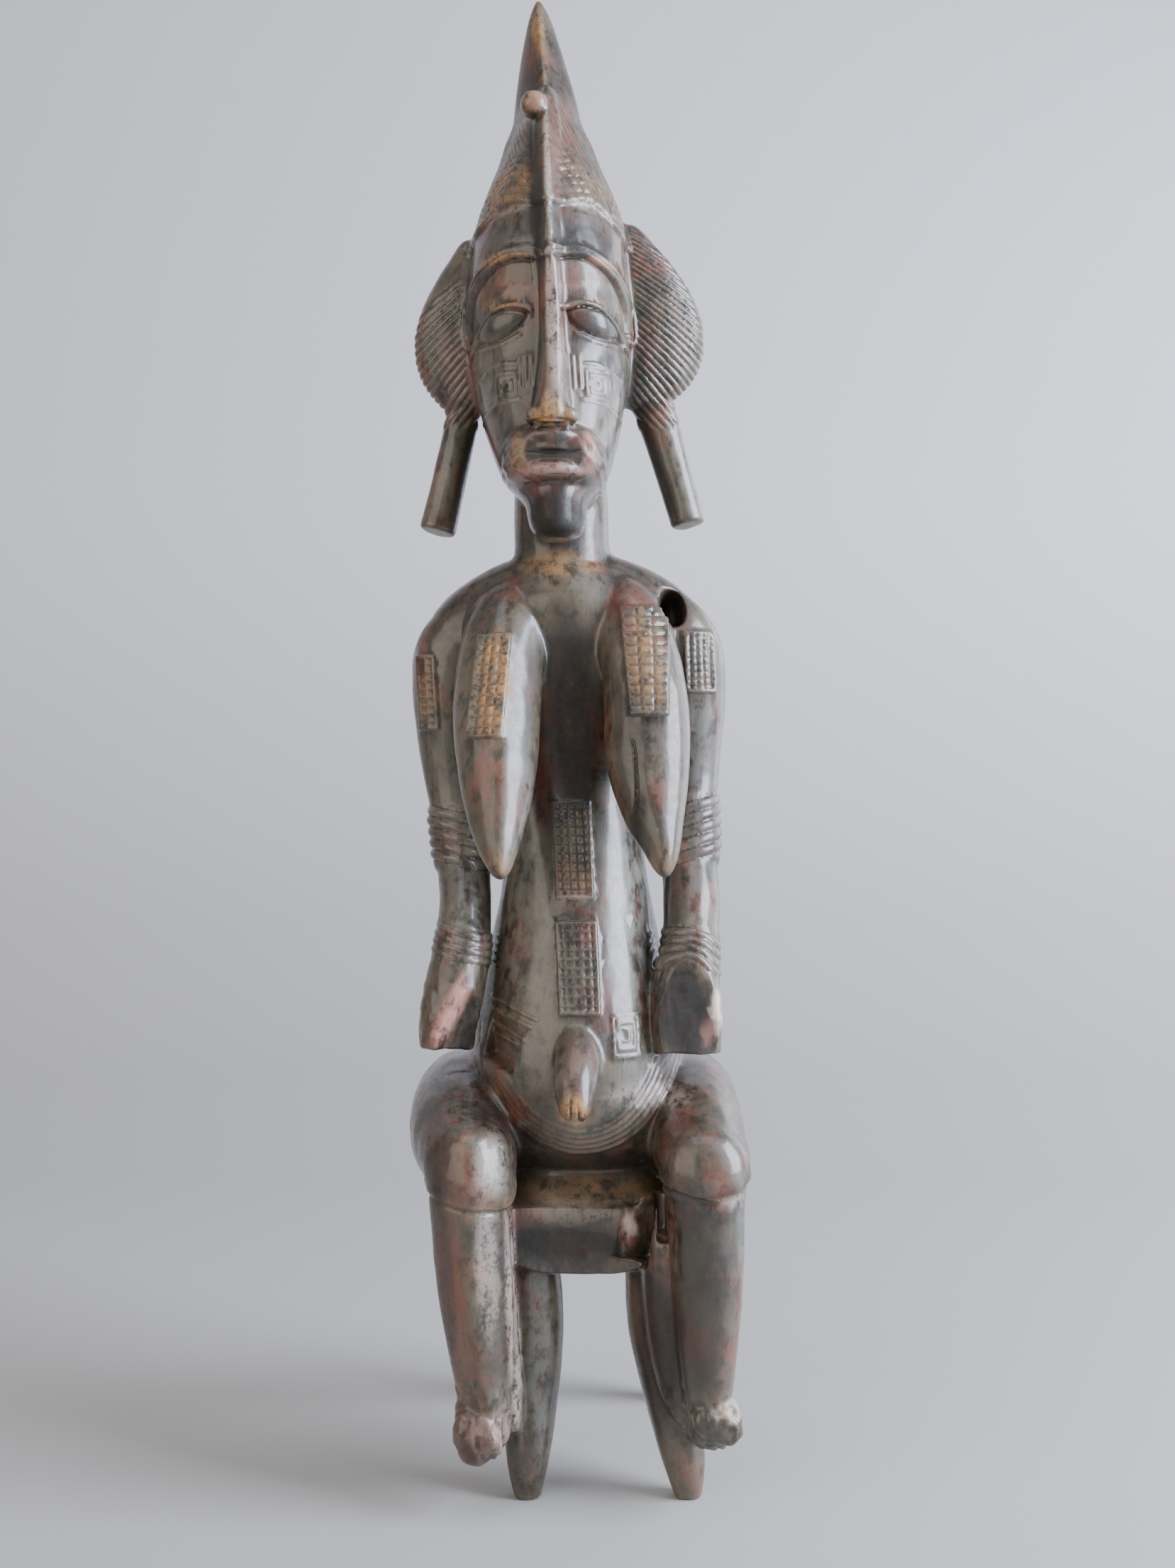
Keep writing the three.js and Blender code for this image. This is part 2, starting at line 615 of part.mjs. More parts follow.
// The muzzle runs forward from the jaw, and carries the lips
const MUZZLE = [
  [FACE_MIDDLE, -28, 403.6, 20.5, 13.5, 13],
  [FACE_MIDDLE, -38, 403.4, 18.8, 12.6, 12.4],
  [FACE_MIDDLE, -45.5, 403.2, 15.8, 11, 10.8],
  [FACE_MIDDLE, -49.5, 403, 11.6, 8, 8],
];
const LIPS = { half: 13, front: -50.6, bend: 7.6, radius: 2.5, upper: 0.3, lower: 0.197 };
const EYE = { x: 19, share: 0.672, sunk: 2.4, radii: [8.8, 5.4, 5.2] };
function faceFeatures() {
  const onFace = (x, share, out) => {
    const point = frontOf(HEAD, x, faceAt(share));
    point.y -= out;
    return point;
  };
  const arch = (rows, out, radius) => (side) => (
    bead(rows.map(([x, share]) => onFace(FACE_MIDDLE + side * x, share, out)), radius)
  );
  const brow = arch([[4.5, 0.86], [14, 0.87], [20.5, 0.85], [26.5, 0.815], [30.4, 0.74]], 0.4, 1.7);
  const eye = (side) => ellipsoid({
    centre: onFace(FACE_MIDDLE + side * EYE.x, EYE.share, -EYE.sunk).toArray(),
    radii: EYE.radii,
  }, 10, 6);
  const lip = (share, sag) => bead([-1, -0.55, 0, 0.55, 1].map((along) => new THREE.Vector3(
    FACE_MIDDLE + along * LIPS.half,
    LIPS.front + LIPS.bend * along ** 2,
    faceAt(share) + sag * (1 - along ** 2),
  )), LIPS.radius);
  return [
    ...[-1, 1].flatMap((side) => [brow(side), eye(side)]),
    skin(limb(MUZZLE, 2.6), rowPlaces(MUZZLE), 14),
    lip(LIPS.upper, 0.6),
    lip(LIPS.lower, -0.8),
  ];
}

// Half-moon mass of hair beside the head, with locks fanning out from the ear
const LOBE = { y: 8, locks: 10, relief: 0.55 };
function lobe(rows) {
  const sides = LOBE.locks * 2;
  return closeRings(rows.map(([x, middle, half, deep]) => (
    Array.from({ length: sides }, (_, k) => {
      const angle = (k / sides) * 2 * Math.PI;
      const proud = k % 2 === 0 ? LOBE.relief : -LOBE.relief;
      const [y, z] = [(deep + proud) * Math.cos(angle), (half + proud) * Math.sin(angle)];
      return new THREE.Vector3(x, LOBE.y + y, middle + z);
    })
  )));
}

// Rings carved round an arm: its radius rises and falls between two places
function arm(side) {
  const ringSets = [
    { span: side.bracelet, count: 5, height: 2 },
    { span: side.wristlet, count: 2, height: 1 },
  ];
  const [groove, room, slack] = [0.2, 0.3, 0.01];
  const ringPlaces = ringSets.flatMap(({ span, count }) => steps(...span, count * 2));
  const proud = (place) => {
    for (const { span: [from, to], count, height } of ringSets) {
      const step = ((place - from) / (to - from)) * count * 2;
      if (step > -slack && step < count * 2 + slack) return Math.round(step) % 2 === 1 ? height : groove;
    }
    return 0;
  };
  const inRings = (place) => (
    ringSets.some(({ span: [from, to] }) => place > from - room && place < to + room)
  );
  const places = [...rowPlaces(side.arm).filter((place) => !inRings(place)), ...ringPlaces];
  return skin(limb(side.arm, 2, proud), places.sort((a, b) => a - b), 9);
}

function leg(side) {
  const front = [
    [side.legTop, LEG.frontTop, 98, LEG.radius, 13, 12],
    [side.legTop, LEG.frontTop, 66, LEG.radius + 0.8, 13, 12],
    [THREE.MathUtils.lerp(side.legTop, side.legFoot, 0.45), LEG.frontTop - 2, 38, LEG.radius, 12, 11],
    [THREE.MathUtils.lerp(side.legTop, side.legFoot, 0.85), LEG.frontFoot, 16, 8.6, 9, 8.5],
    [side.legFoot, LEG.frontFoot, -LEG.spare, LEG.foot, LEG.foot, LEG.foot],
  ];
  const back = [
    [side.legTop * 1.1, LEG.backTop, 98, 10, 10, 10],
    [side.legTop * 1.15, LEG.backTop + 4, 66, LEG.radius, 10.5, 10.5],
    [side.legTop * 1.3, LEG.backTop + 12, 34, 9.5, 9.5, 9.5],
    [side.legFoot * 1.04, LEG.backFoot, -LEG.spare, LEG.foot + 0.6, LEG.foot + 0.6, LEG.foot + 0.6],
  ];
  return joined([
    skin(limb(side.thigh, 2.1), rowPlaces(side.thigh), 12),
    skin(limb(side.shin, side.shinRoundness), rowPlaces(side.shin), 10),
    skin(limb(side.web), rowPlaces(side.web), 7),
    skin(limb(side.footStub, 2.6), rowPlaces(side.footStub), 8),
    skin(limb(front), rowPlaces(front), 8),
    skin(limb(back), rowPlaces(back), 8),
  ]);
}

const seat = () => joined([
  skin(limb(RIM, 3.4), rowPlaces(RIM), 12),
  skin(limb(BOWL, 2.7), rowPlaces(BOWL), 12),
]);

// Band of the belt: it hangs under the belly from hip to hip
const BELT = { x: -5, half: 38, low: 141, rise: 27, radius: 2.8 };
function belt() {
  return bead(steps(-1, 1, 8).map((share) => (
    frontOf(TORSO, BELT.x + share * BELT.half, BELT.low + BELT.rise * share ** 2)
  )), BELT.radius);
}

const torsoSurface = upright(TORSO);
const leftBreast = limb(LEFT.breast);
const rightBreast = limb(RIGHT.breast);

const masses = [
  skin(torsoSurface, rowHeights(TORSO), 18),
  skin(upright(PELVIS), rowHeights(PELVIS), 14),
  skin(limb(YOKE), rowPlaces(YOKE), 12),
  skin(upright(NECK), rowHeights(NECK), 12),
  skin(upright(HEAD), rowHeights(HEAD), 18),
  coiffure(),
  ridge(),
  ...faceFeatures(),
  lobe(LEFT.lobe),
  lobe(RIGHT.lobe),
  ...HIPS.map((mass) => ellipsoid(mass)),
  seat(),
  belt(),
  skin(limb(NAVEL), rowPlaces(NAVEL), 10),
];
for (const side of [LEFT, RIGHT]) {
  masses.push(arm(side), leg(side));
  masses.push(skin(limb(side.breast), rowPlaces(side.breast), 12));
  masses.push(skin(limb(side.braid), rowPlaces(side.braid), 8));
}

const panels = [
  panel(torsoSurface, [189, 224], [0.706, 0.794], 5, 2),
  panel(torsoSurface, [232.5, 268.5], [0.7, 0.8], 5, 2),
  panel(leftBreast, [1.6, 3.6], [0.2, 0.36], 5, 0.05),
  panel(rightBreast, [1.1, 3.3], [0.14, 0.3], 5, 0.05),
  panel(limb(LEFT.arm), [1.35, 3], [0.3, 0.43], 3, 0.05),
  panel(limb(RIGHT.arm), [1.1, 2.6], [0.04, 0.19], 3, 0.05),
];

// What is lost: hands, feet, the knot hole in the shoulder, the corner and the split of the seat
const shoulderHole = skin(limb([
  [41.5, -34, 352, 5.2, 8, 8.5],
  [42, -12, 349, 5.4, 8.5, 8.5],
  [42.5, 4, 346, 4.4, 7, 7],
  [42.6, 9, 345, 2, 3, 3],
], 2.4), [0, 1, 2, 3], 10);
const losses = [
  shoulderHole,
  cutter([40, 20, 44], [-45.6, -43.5, 186], [0.33, 0, 0.67]), // left hand
  cutter([44, 20, 42], [40, -44.5, 188], [-0.05, 0, 0.1]), // right hand
  cutter([30, 12, 30], [-48, -64, 26], [0.35, 0, 0.1]), // left foot
  cutter([30, 12, 30], [43, -62, 32], [0.25, 0, -0.1]), // right foot
  cutter([20, 12, 26], [17.5, -39, 106], [0.12, 0.2, 0.5]), // corner of the seat
  cutter([4.4, 36, 21], [26, -44, 111], [0, 0.05, 0]), // split of the seat
  cutter([200, 240, 20], [0, 20, -10], [0, 0, 0]), // the floor, which leaves four level feet
];

// Lean the whole figure to one side, then bring the middle of its box over the origin
function leaned(manifold) {
  const shear = [1, 0, 0, 0, 0, 1, 0, 0, -LEAN, 0, 1, 0, 0, 0, 0, 1];
  const tilted = manifold.transform(shear);
  const { min, max } = tilted.boundingBox();
  return tilted.translate(-(min[0] + max[0]) / 2, -(min[1] + max[1]) / 2, -min[2]);
}

const carving = losses.reduce((body, loss) => body.subtract(loss), joined([...masses, ...panels]));
const largest = leaned(carving).decompose().sort((a, b) => b.volume() - a.volume())[0];

const wood = new THREE.MeshStandardMaterial({ color: '#3b332c', roughness: 0.5, metalness: 0 });
const figure = new THREE.Mesh(toGeometry(largest), wood);
figure.name = 'carved_figure';

const group = new THREE.Group();
group.add(figure);
export default group;
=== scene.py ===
"""Seated female figure on a four-legged stool, carved from one block of dark hardwood.

Sizes are in millimetres in the carver's frame, in which the figure sits upright: +Z up from the ground,
-Y the way the face looks, +X to the right of someone who looks at it. The log grew crooked, so the
finished carving is leaned sideways and brought over the middle of the frame, in metres, at the end.
"""
import logging
import math
from dataclasses import dataclass, field
from enum import Enum

import bmesh
import bpy
import numpy as np
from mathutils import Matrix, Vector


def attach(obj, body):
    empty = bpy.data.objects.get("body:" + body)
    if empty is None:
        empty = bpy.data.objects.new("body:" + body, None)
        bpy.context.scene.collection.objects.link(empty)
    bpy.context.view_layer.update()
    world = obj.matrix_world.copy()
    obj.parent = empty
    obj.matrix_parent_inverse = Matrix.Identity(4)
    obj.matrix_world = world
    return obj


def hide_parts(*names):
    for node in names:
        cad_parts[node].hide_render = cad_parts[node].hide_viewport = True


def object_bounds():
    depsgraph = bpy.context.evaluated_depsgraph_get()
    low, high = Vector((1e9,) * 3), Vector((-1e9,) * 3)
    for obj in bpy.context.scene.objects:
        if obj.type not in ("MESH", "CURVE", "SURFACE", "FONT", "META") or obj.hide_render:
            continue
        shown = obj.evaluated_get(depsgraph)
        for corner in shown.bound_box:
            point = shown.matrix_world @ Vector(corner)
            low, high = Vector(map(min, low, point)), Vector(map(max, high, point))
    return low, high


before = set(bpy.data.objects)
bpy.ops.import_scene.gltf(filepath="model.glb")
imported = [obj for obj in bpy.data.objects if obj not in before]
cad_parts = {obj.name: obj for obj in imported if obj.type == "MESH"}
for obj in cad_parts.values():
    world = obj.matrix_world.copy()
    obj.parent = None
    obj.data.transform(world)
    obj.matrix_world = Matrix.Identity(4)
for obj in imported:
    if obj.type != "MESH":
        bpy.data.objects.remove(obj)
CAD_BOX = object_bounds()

Array = np.ndarray
Rows = tuple[tuple[float, ...], ...]
log = logging.getLogger("carved_figure")

MM = 0.001
NODE = "carved_figure"
PIECE = "carved_wood_figure"
BODY = "root"

LEAN = 0.0467  # sideways shift towards -X for each millimetre of height
TO_MIDDLE = (11.657, -9.730)  # brings the leaned figure's box over the origin
CHIN_HEIGHT = 372.0
FEATURE_TILT = 0.03  # the right eye and brow sit a little higher than the left
FACE_HEIGHT = 127.0
FACE_MIDDLE = -2.2
ACROSS = (1.0, 0.0, 0.0)
UP = (0.0, 0.0, 1.0)


class Side(Enum):
    """The viewer's left and right, as the sign of X."""

    LEFT = -1
    RIGHT = 1


@dataclass
class Shell:
    """One closed mass: its points and its triangles."""

    points: Array
    triangles: Array

    def facing_out(self) -> "Shell":
        """Turn the triangles so that the shell holds a positive volume.

        Returns:
            The shell itself, or one with every triangle turned over.
        """
        a, b, c = (self.points[self.triangles[:, k]] for k in range(3))
        volume = np.einsum("ij,ij->i", a, np.cross(b, c)).sum()
        return self if volume > 0 else Shell(self.points, self.triangles[:, ::-1])


def through(rows: Array, places: Array) -> Array:
    """Smooth curve through rows of numbers that are led by their place.

    Between two rows it is the cubic whose slope at each row is set by the rows on both sides.

    Args:
        rows: The rows, place first, in rising order of place.
        places: Where the curve is read.

    Returns:
        The other numbers of the rows at each place, along a new last axis.
    """
    keys, values = rows[:, 0], rows[:, 1:]
    last = len(keys) - 1
    i = np.clip(np.searchsorted(keys, places, side="left") - 1, 0, last - 1)
    before, after = np.maximum(i - 1, 0), np.minimum(i + 2, last)
    gap = (keys[i + 1] - keys[i])[..., None]
    t = np.clip((places - keys[i])[..., None] / gap, 0, 1)
    slope_a = (values[i + 1] - values[before]) / (keys[i + 1] - keys[before])[..., None] * gap
    slope_b = (values[after] - values[i]) / (keys[after] - keys[i])[..., None] * gap
    t2, t3 = t * t, t * t * t
    return (
        (2 * t3 - 3 * t2 + 1) * values[i] + (t3 - 2 * t2 + t) * slope_a
        + (3 * t2 - 2 * t3) * values[i + 1] + (t3 - t2) * slope_b
    )


def oval(turns: Array, roundness: Array | float) -> tuple[Array, Array]:
    """Superellipse: the cosine and sine of the turn, each raised to 2 / roundness with its sign kept.

    Args:
        turns: Shares of a full turn.
        roundness: 2 for an ellipse, less for a lozenge, more for a rounded square.

    Returns:
        Across and along values between -1 and 1.
    """
    angle = turns * 2 * np.pi
    cosine, sine = np.cos(angle), np.sin(angle)
    power = 2 / np.asarray(roundness)
    return np.sign(cosine) * np.abs(cosine) ** power, np.sign(sine) * np.abs(sine) ** power


def closed(grid: Array) -> Shell:
    """Close a grid of rings into a shell, with both ends drawn to their middles.

    Args:
        grid: Points by ring and by side, so its shape is rings x sides x 3.

    Returns:
        The closed shell, facing out.
    """
    rings, sides = grid.shape[:2]
    index = np.arange(rings * sides).reshape(rings, sides)
    low, high = index[:-1], index[1:]
    low_next, high_next = np.roll(low, -1, axis=1), np.roll(high, -1, axis=1)
    walls = np.stack([low, low_next, high_next, low, high_next, high], axis=-1).reshape(-1, 3)
    first, last = rings * sides, rings * sides + 1
    bottom = np.stack([np.full(sides, first), np.roll(index[0], -1), index[0]], axis=-1)
    top = np.stack([np.full(sides, last), index[-1], np.roll(index[-1], -1)], axis=-1)
    points = np.concatenate([grid.reshape(-1, 3), [grid[0].mean(axis=0)], [grid[-1].mean(axis=0)]])
    return Shell(points, np.concatenate([walls, bottom, top])).facing_out()


def upright(rows: Rows, rings: int = 160, sides: int = 160) -> Shell:
    """Upright mass, level section by level section.

    Each section is a superellipse: centre plus (half width x across, front or back depth x along).

    Args:
        rows: Height, centre x, centre y, half width, front, back, roundness.
        rings: Sections made between the first row and the last.
        sides: Points round a section.

    Returns:
        The closed mass.
    """
    table = np.array(rows)
    heights = np.linspace(table[0, 0], table[-1, 0], rings)
    turns = np.arange(sides) / sides
    x, y, width, front, back, roundness = (c[:, None] for c in through(table, heights).T)
    across, along = oval(turns[None, :], roundness)
    depth = np.where(along > 0, back, front)
    level = np.broadcast_to(heights[:, None], across.shape)
    return closed(np.stack([x + width * across, y + depth * along, level], axis=-1))


def limb(
    rows: Rows,
    roundness: float = 2.0,
    proud: Array | None = None,
    level: tuple[float, ...] = ACROSS,
    rings: int = 120,
    sides: int = 72,
) -> Shell:
    """Limb along its centre line, on a superellipse set square to that line.

    Its points are centre + half width x across x W + half depth x along x D, where D is square to the
    line and to the level direction, and W is square to both.

    Args:
        rows: Centre x, y, height, half width, half depth ahead, half depth behind.
        roundness: Roundness of every section.
        proud: Height to add all round at each ring, such as carved arm rings.
        level: Direction that the width keeps to, never the one that the line runs in.
        rings: Sections made from the first row to the last.
        sides: Points round a section.

    Returns:
        The closed limb.
    """
    table = np.column_stack([np.arange(len(rows)), np.array(rows)])
    places = np.linspace(0, len(rows) - 1, rings)
    reach = 0.02
    centre, (width, ahead, behind) = through(table, places)[:, :3], through(table, places)[:, 3:].T
    far = through(table, np.minimum(places + reach, len(rows) - 1))[:, :3]
    near = through(table, np.maximum(places - reach, 0))[:, :3]
    along_line = (far - near) / np.linalg.norm(far - near, axis=1, keepdims=True)
    depth_way = np.cross(along_line, level)
    depth_way /= np.linalg.norm(depth_way, axis=1, keepdims=True)
    width_way = np.cross(depth_way, along_line)
    extra = np.zeros(rings) if proud is None else proud
    across, along = oval(np.arange(sides) / sides, roundness)
    half = (width + extra)[:, None] * across[None, :]
    deep = (np.where(along[None, :] > 0, ahead[:, None], behind[:, None]) + extra[:, None]) * along[None, :]
    grid = centre[:, None] + half[..., None] * width_way[:, None] + deep[..., None] * depth_way[:, None]
    return closed(grid)


def ball(centre: tuple[float, ...], radii: tuple[float, ...], rings: int = 60, sides: int = 80) -> Shell:
    """Ellipsoid: centre + radii x (sin v cos u, sin v sin u, cos v).

    Args:
        centre: Its middle.
        radii: Half sizes along X, Y and Z.
        rings: Sections from pole to pole.
        sides: Points round a section.

    Returns:
        The closed ellipsoid.
    """
    v = np.linspace(0.02, np.pi - 0.02, rings)[:, None]
    u = np.linspace(0, 2 * np.pi, sides, endpoint=False)[None, :]
    unit = np.stack([np.sin(v) * np.cos(u), np.sin(v) * np.sin(u), np.cos(v) * np.ones_like(u)], axis=-1)
    return closed(np.array(centre) + unit * np.array(radii))


def block(size: tuple[float, ...], centre: tuple[float, ...], turns: tuple[float, ...]) -> Shell:
    """Rough box with its own turn, for breaks and chips.

    Args:
        size: Full sizes along its own axes.
        centre: Its middle.
        turns: Turns about X, Y and Z in radians.

    Returns:
        The closed box.
    """
    square = np.array([[-1, -1], [1, -1], [1, 1], [-1, 1]]) / 2
    grid = np.array([[[x, y, z] for x, y in square] for z in (-0.5, 0.5)]) * np.array(size)
    (cx, sx), (cy, sy), (cz, sz) = ((math.cos(a), math.sin(a)) for a in turns)
    about_x = np.array([[1, 0, 0], [0, cx, -sx], [0, sx, cx]])
    about_y = np.array([[cy, 0, sy], [0, 1, 0], [-sy, 0, cy]])
    about_z = np.array([[cz, -sz, 0], [sz, cz, 0], [0, 0, 1]])
    return closed(grid @ (about_x @ about_y @ about_z).T + np.array(centre))


def smooth_step(value: Array, low: float, high: float) -> Array:
    """Rise smoothly from 0 at low to 1 at high: 3 t squared - 2 t cubed."""
    t = np.clip((value - low) / (high - low), 0, 1)
    return t * t * (3 - 2 * t)


def window(value: Array, low: float, high: float, soft: float) -> Array:
    """One between low and high, with soft ends of the given width outside them."""
    return smooth_step(value, low - soft, low) * (1 - smooth_step(value, high, high + soft))


def hump(distance: Array, half: float) -> Array:
    """Rounded bead across a line: exp(-(distance / half) squared)."""
    return np.exp(-((distance / half) ** 2))


def value_noise(points: Array, size: float, seed: int) -> Array:
    """Smooth noise between -1 and 1: random corner values of a cubic lattice, blended inside each cell.

    Args:
        points: Where it is read.
        size: Cell size in millimetres.
        seed: Chooses one of many patterns.

    Returns:
        One value for each point.
    """
    scaled = points / size
    cell = np.floor(scaled).astype(np.int64)
    inside = scaled - cell
    inside = inside * inside * (3 - 2 * inside)
    total = np.zeros(len(points))
    for corner in np.ndindex(2, 2, 2):
        key = cell + np.array(corner)
        mixed = key[:, 0] * 374761393 + key[:, 1] * 668265263 + key[:, 2] * 2147483647 + seed * 974711
        mixed = (mixed ^ (mixed >> 13)) * 1274126177
        random = ((mixed ^ (mixed >> 16)) & 0xFFFF) / 32767.5 - 1
        weight = np.prod(np.where(np.array(corner) == 1, inside, 1 - inside), axis=1)
        total += weight * random
    return total


@dataclass(frozen=True)
class Trace:
    """Curve drawn on the front of the carving, in x and height."""

    points: Rows
    steps: int = 28

    def measure(self, x: Array, z: Array) -> tuple[Array, Array]:
        """Measure points of the carving against the curve.

        Args:
            x: Their x.
            z: Their heights.

        Returns:
            The distance to the curve, positive on its left as it is drawn, and the share along it.
        """
        table = np.column_stack([np.linspace(0, 1, len(self.points)), np.array(self.points)])
        line = through(table, np.linspace(0, 1, self.steps + 1))
        nearest = np.full(x.shape, 1e9)
        side, share = np.zeros_like(nearest), np.zeros_like(nearest)
        for i, (start, end) in enumerate(zip(line[:-1], line[1:])):
            way = end - start
            length = math.hypot(*way)
            t = np.clip(((x - start[0]) * way[0] + (z - start[1]) * way[1]) / length**2, 0, 1)
            dx, dz = x - start[0] - t * way[0], z - start[1] - t * way[1]
            distance = np.hypot(dx, dz)
            closer = distance < nearest
            nearest = np.where(closer, distance, nearest)
            side = np.where(closer, way[0] * dz - way[1] * dx, side)
            share = np.where(closer, (i + t) / self.steps, share)
        return nearest * np.where(side < 0, -1, 1), share


@dataclass
class Torso:
    """Trunk from the lap to the collar, with the hips, the yoke of the shoulders and the navel."""

    trunk: Rows = (
        (111, -4, 12, 32, 2, 30, 2.2), (118, -4, 10, 36, 8, 36, 2.2), (124, -4.4, 8, 39.5, 27, 41, 2.1),
        (130, -4.7, 7, 41.4, 37.5, 42, 2.05), (138, -5, 6, 43, 44, 41, 2), (150, -5, 5, 44, 48, 38, 2),
        (170, -5, 5, 42.5, 50, 34, 2), (192, -4, 5, 39, 46, 30, 2), (216, -2.8, 5, 34, 40, 26, 2),
        (238, -1.9, 5, 29.7, 34.5, 23, 2.1), (257, -1.8, 5, 28, 31, 23, 2.1),
        (276, -2.5, 5, 27.5, 28, 24, 2.2), (306, -1.5, 5, 31, 25, 28, 2.3), (332, -1, 5, 35, 26, 30, 2.3),
        (350, -1, 5, 33, 28, 27, 2.1), (363, -1, 5, 24, 22, 22, 2.1), (372, -1, 5, 14, 12, 14, 2),
    )
    pelvis: Rows = (
        (112, -4, 20, 46, 14, 32, 2.4), (124, -4, 19, 54, 20, 36, 2.3), (136, -4, 17, 56, 26, 37, 2.2),
        (150, -4, 14, 55, 28, 35, 2.1), (162, -4, 11, 49, 26, 31, 2), (172, -4, 9, 41, 24, 26, 2),
    )
    lap: Rows = (
        (110, -4, 6, 34, 42, 30, 2.6), (115, -4, 6, 34, 41, 30, 2.6), (119, -4, 6, 34, 36, 30, 2.5),
        (123, -4, 6, 35, 32, 30, 2.4), (128, -4, 6, 36, 29, 30, 2.3), (133, -4, 6, 36, 27, 30, 2.2),
    )
    yoke: Rows = (
        (-46, 5, 335, 15, 15, 17), (-34, 5, 344, 17, 17, 18), (-17, 5, 350, 20, 18, 19),
        (0, 5, 352, 21, 18, 19), (17, 5, 351, 20, 18, 19), (34, 5, 346, 17, 17, 18),
        (46, 5, 336, 15, 15, 17),
    )
    navel: Rows = (
        (-3.6, -35, 180, 8, 9, 12), (-4, -45.5, 172, 8.6, 9, 10), (-4.8, -54.5, 164.5, 8, 8, 8),
        (-5.5, -60.5, 156.5, 6.2, 6, 5.8), (-5.8, -62.8, 152.5, 3.2, 3, 2.8),
    )
    hips: tuple[tuple[tuple[float, ...], tuple[float, ...]], ...] = (
        ((-32, 32, 135), (42, 26, 29)), ((24, 32, 136), (38, 26, 29)),
    )

    def shells(self) -> list[Shell]:
        """Build every mass of the trunk."""
        rounds = [ball(centre, radii) for centre, radii in self.hips]
        uprights = [upright(rows) for rows in (self.trunk, self.pelvis, self.lap)]
        return [*uprights, limb(self.yoke), limb(self.navel), *rounds]


@dataclass
class Head:
    """Neck, face, drawn-up coiffure and the sharp ridge that runs from the crest into the nose."""

    neck: Rows = (
        (352, -1, 5, 22, 21, 22, 2), (372, -1, 5, 19.6, 19, 20, 2), (394, -0.5, 5, 19.2, 18, 20, 2),
        (414, 0, 5, 18, 17, 22, 2),
    )
    face: Rows = (
        (372, -1.9, -31, 5, 8, 7, 2), (375, -2, -29.5, 9.4, 15.5, 12, 2),
        (380, -2, -26.5, 11.2, 20.5, 16, 2), (387, -2.1, -22, 12.4, 24.5, 21, 2.1),
        (393, -2.2, -17, 16.4, 28, 25, 2.3), (398, -2.2, -14, 20.4, 31, 28, 2.3),
        (411, -2.4, -9, 25, 34, 34, 2.2),
        (426, -2.3, -5, 28.6, 36.5, 38, 2.2), (441, -2.2, -2, 31.2, 38, 38, 2.2),
        (456, -2, 0, 32.6, 38.5, 37, 2.2), (471, -1.6, 1, 33, 41, 35, 2.2),
        (486, -1, 2, 31.8, 42.5, 33, 2.1), (499, 0, 3, 30, 41, 31, 2),
    )
    crown: Rows = (
        (486, -0.8, 2.2, 31.8, 41.2, 33, 2.1), (490, -0.5, 2.5, 31.2, 41.5, 32.5, 2),
        (499, 0.2, 3, 29.6, 40.5, 31, 1.95), (508, 0.6, 3.5, 27.2, 38.5, 29, 1.85),
        (517, 0.8, 4, 23.8, 35.5, 27, 1.75), (526, 1, 4.5, 20.2, 32.5, 24, 1.6),
        (535, 1.1, 5, 17, 29.5, 21, 1.45), (543, 1.2, 5.5, 15.2, 27, 19, 1.32),
        (549, 1.2, 6, 14, 24.5, 17.5, 1.28), (556, 1, 7, 12.9, 19, 15.5, 1.25),
        (568, 0.6, 8, 10.6, 14.5, 13, 1.25), (582, 0.2, 9, 7.4, 9.8, 8.8, 1.3),
        (593, 0, 9.5, 4.3, 5.4, 5, 1.6), (600, -0.2, 10, 1.2, 1.6, 1.6, 2),
    )
    # height, x, y of the front edge, half width of the foot and of the edge
    ridge: Rows = (
        (413.5, -2.4, -55.6, 9.5, 3.4), (418, -2.2, -57.2, 8.4, 3.2), (427, -1.6, -54.5, 6.6, 2.9),
        (441, -0.8, -50.5, 5.4, 2.7), (456, -0.3, -47.4, 5, 2.6), (471, 0, -46.6, 5.2, 2),
        (486, -0.1, -46, 5.4, 0.9), (502, -0.1, -41.6, 5.2, 0.4), (520, 0.6, -34.4, 5, 0.4),
        (538, 1.2, -27, 4.8, 0.4), (549, 1.6, -22.6, 4.4, 0.4), (556, 1.6, -16, 3.6, 0.4),
    )
    ridge_depth: float = 14.0
    knob: tuple[tuple[float, ...], tuple[float, ...]] = ((-3.4, -23.5, 545), (5.4, 6, 5))
    muzzle: Rows = (
        (FACE_MIDDLE, -28, 403.6, 20.5, 13.5, 13), (FACE_MIDDLE, -38, 403.4, 18.8, 12.6, 12.4),
        (FACE_MIDDLE, -45.5, 403.2, 15.8, 11, 10.8), (FACE_MIDDLE, -49.5, 403, 11.6, 8, 8),
    )
    # height, half thickness, half width, y of the front
    lips: tuple[tuple[float, ...], ...] = ((409.8, 2.5, 13.4, -50.4), (397.2, 2.5, 13.4, -50.6))
    teeth: tuple[tuple[float, ...], ...] = ((405.4, 1.5, 10, -49.8),)
    nostril: tuple[tuple[float, ...], tuple[float, ...]] = ((6.2, -50.5, 416.6), (4.4, 5.4, 3.4))

    def ridge_shell(self) -> Shell:
        """Blade whose level sections run from a narrow front edge to a wider foot inside the head.

        Returns:
            The closed blade.
        """
        table = np.array(self.ridge)
        heights = np.linspace(table[0, 0], table[-1, 0], 220)
        x, front, half, edge = through(table, heights).T
        flank = 0.8 * half
        across = (-half, -flank, -edge, edge, flank, half)
        back = (1.0, 0.3, 0.0, 0.0, 0.3, 1.0)
        depth = self.ridge_depth
        lines = [np.stack([x + c, front + depth * d, heights], axis=-1) for c, d in zip(across, back)]
        return closed(np.stack(lines, axis=1))

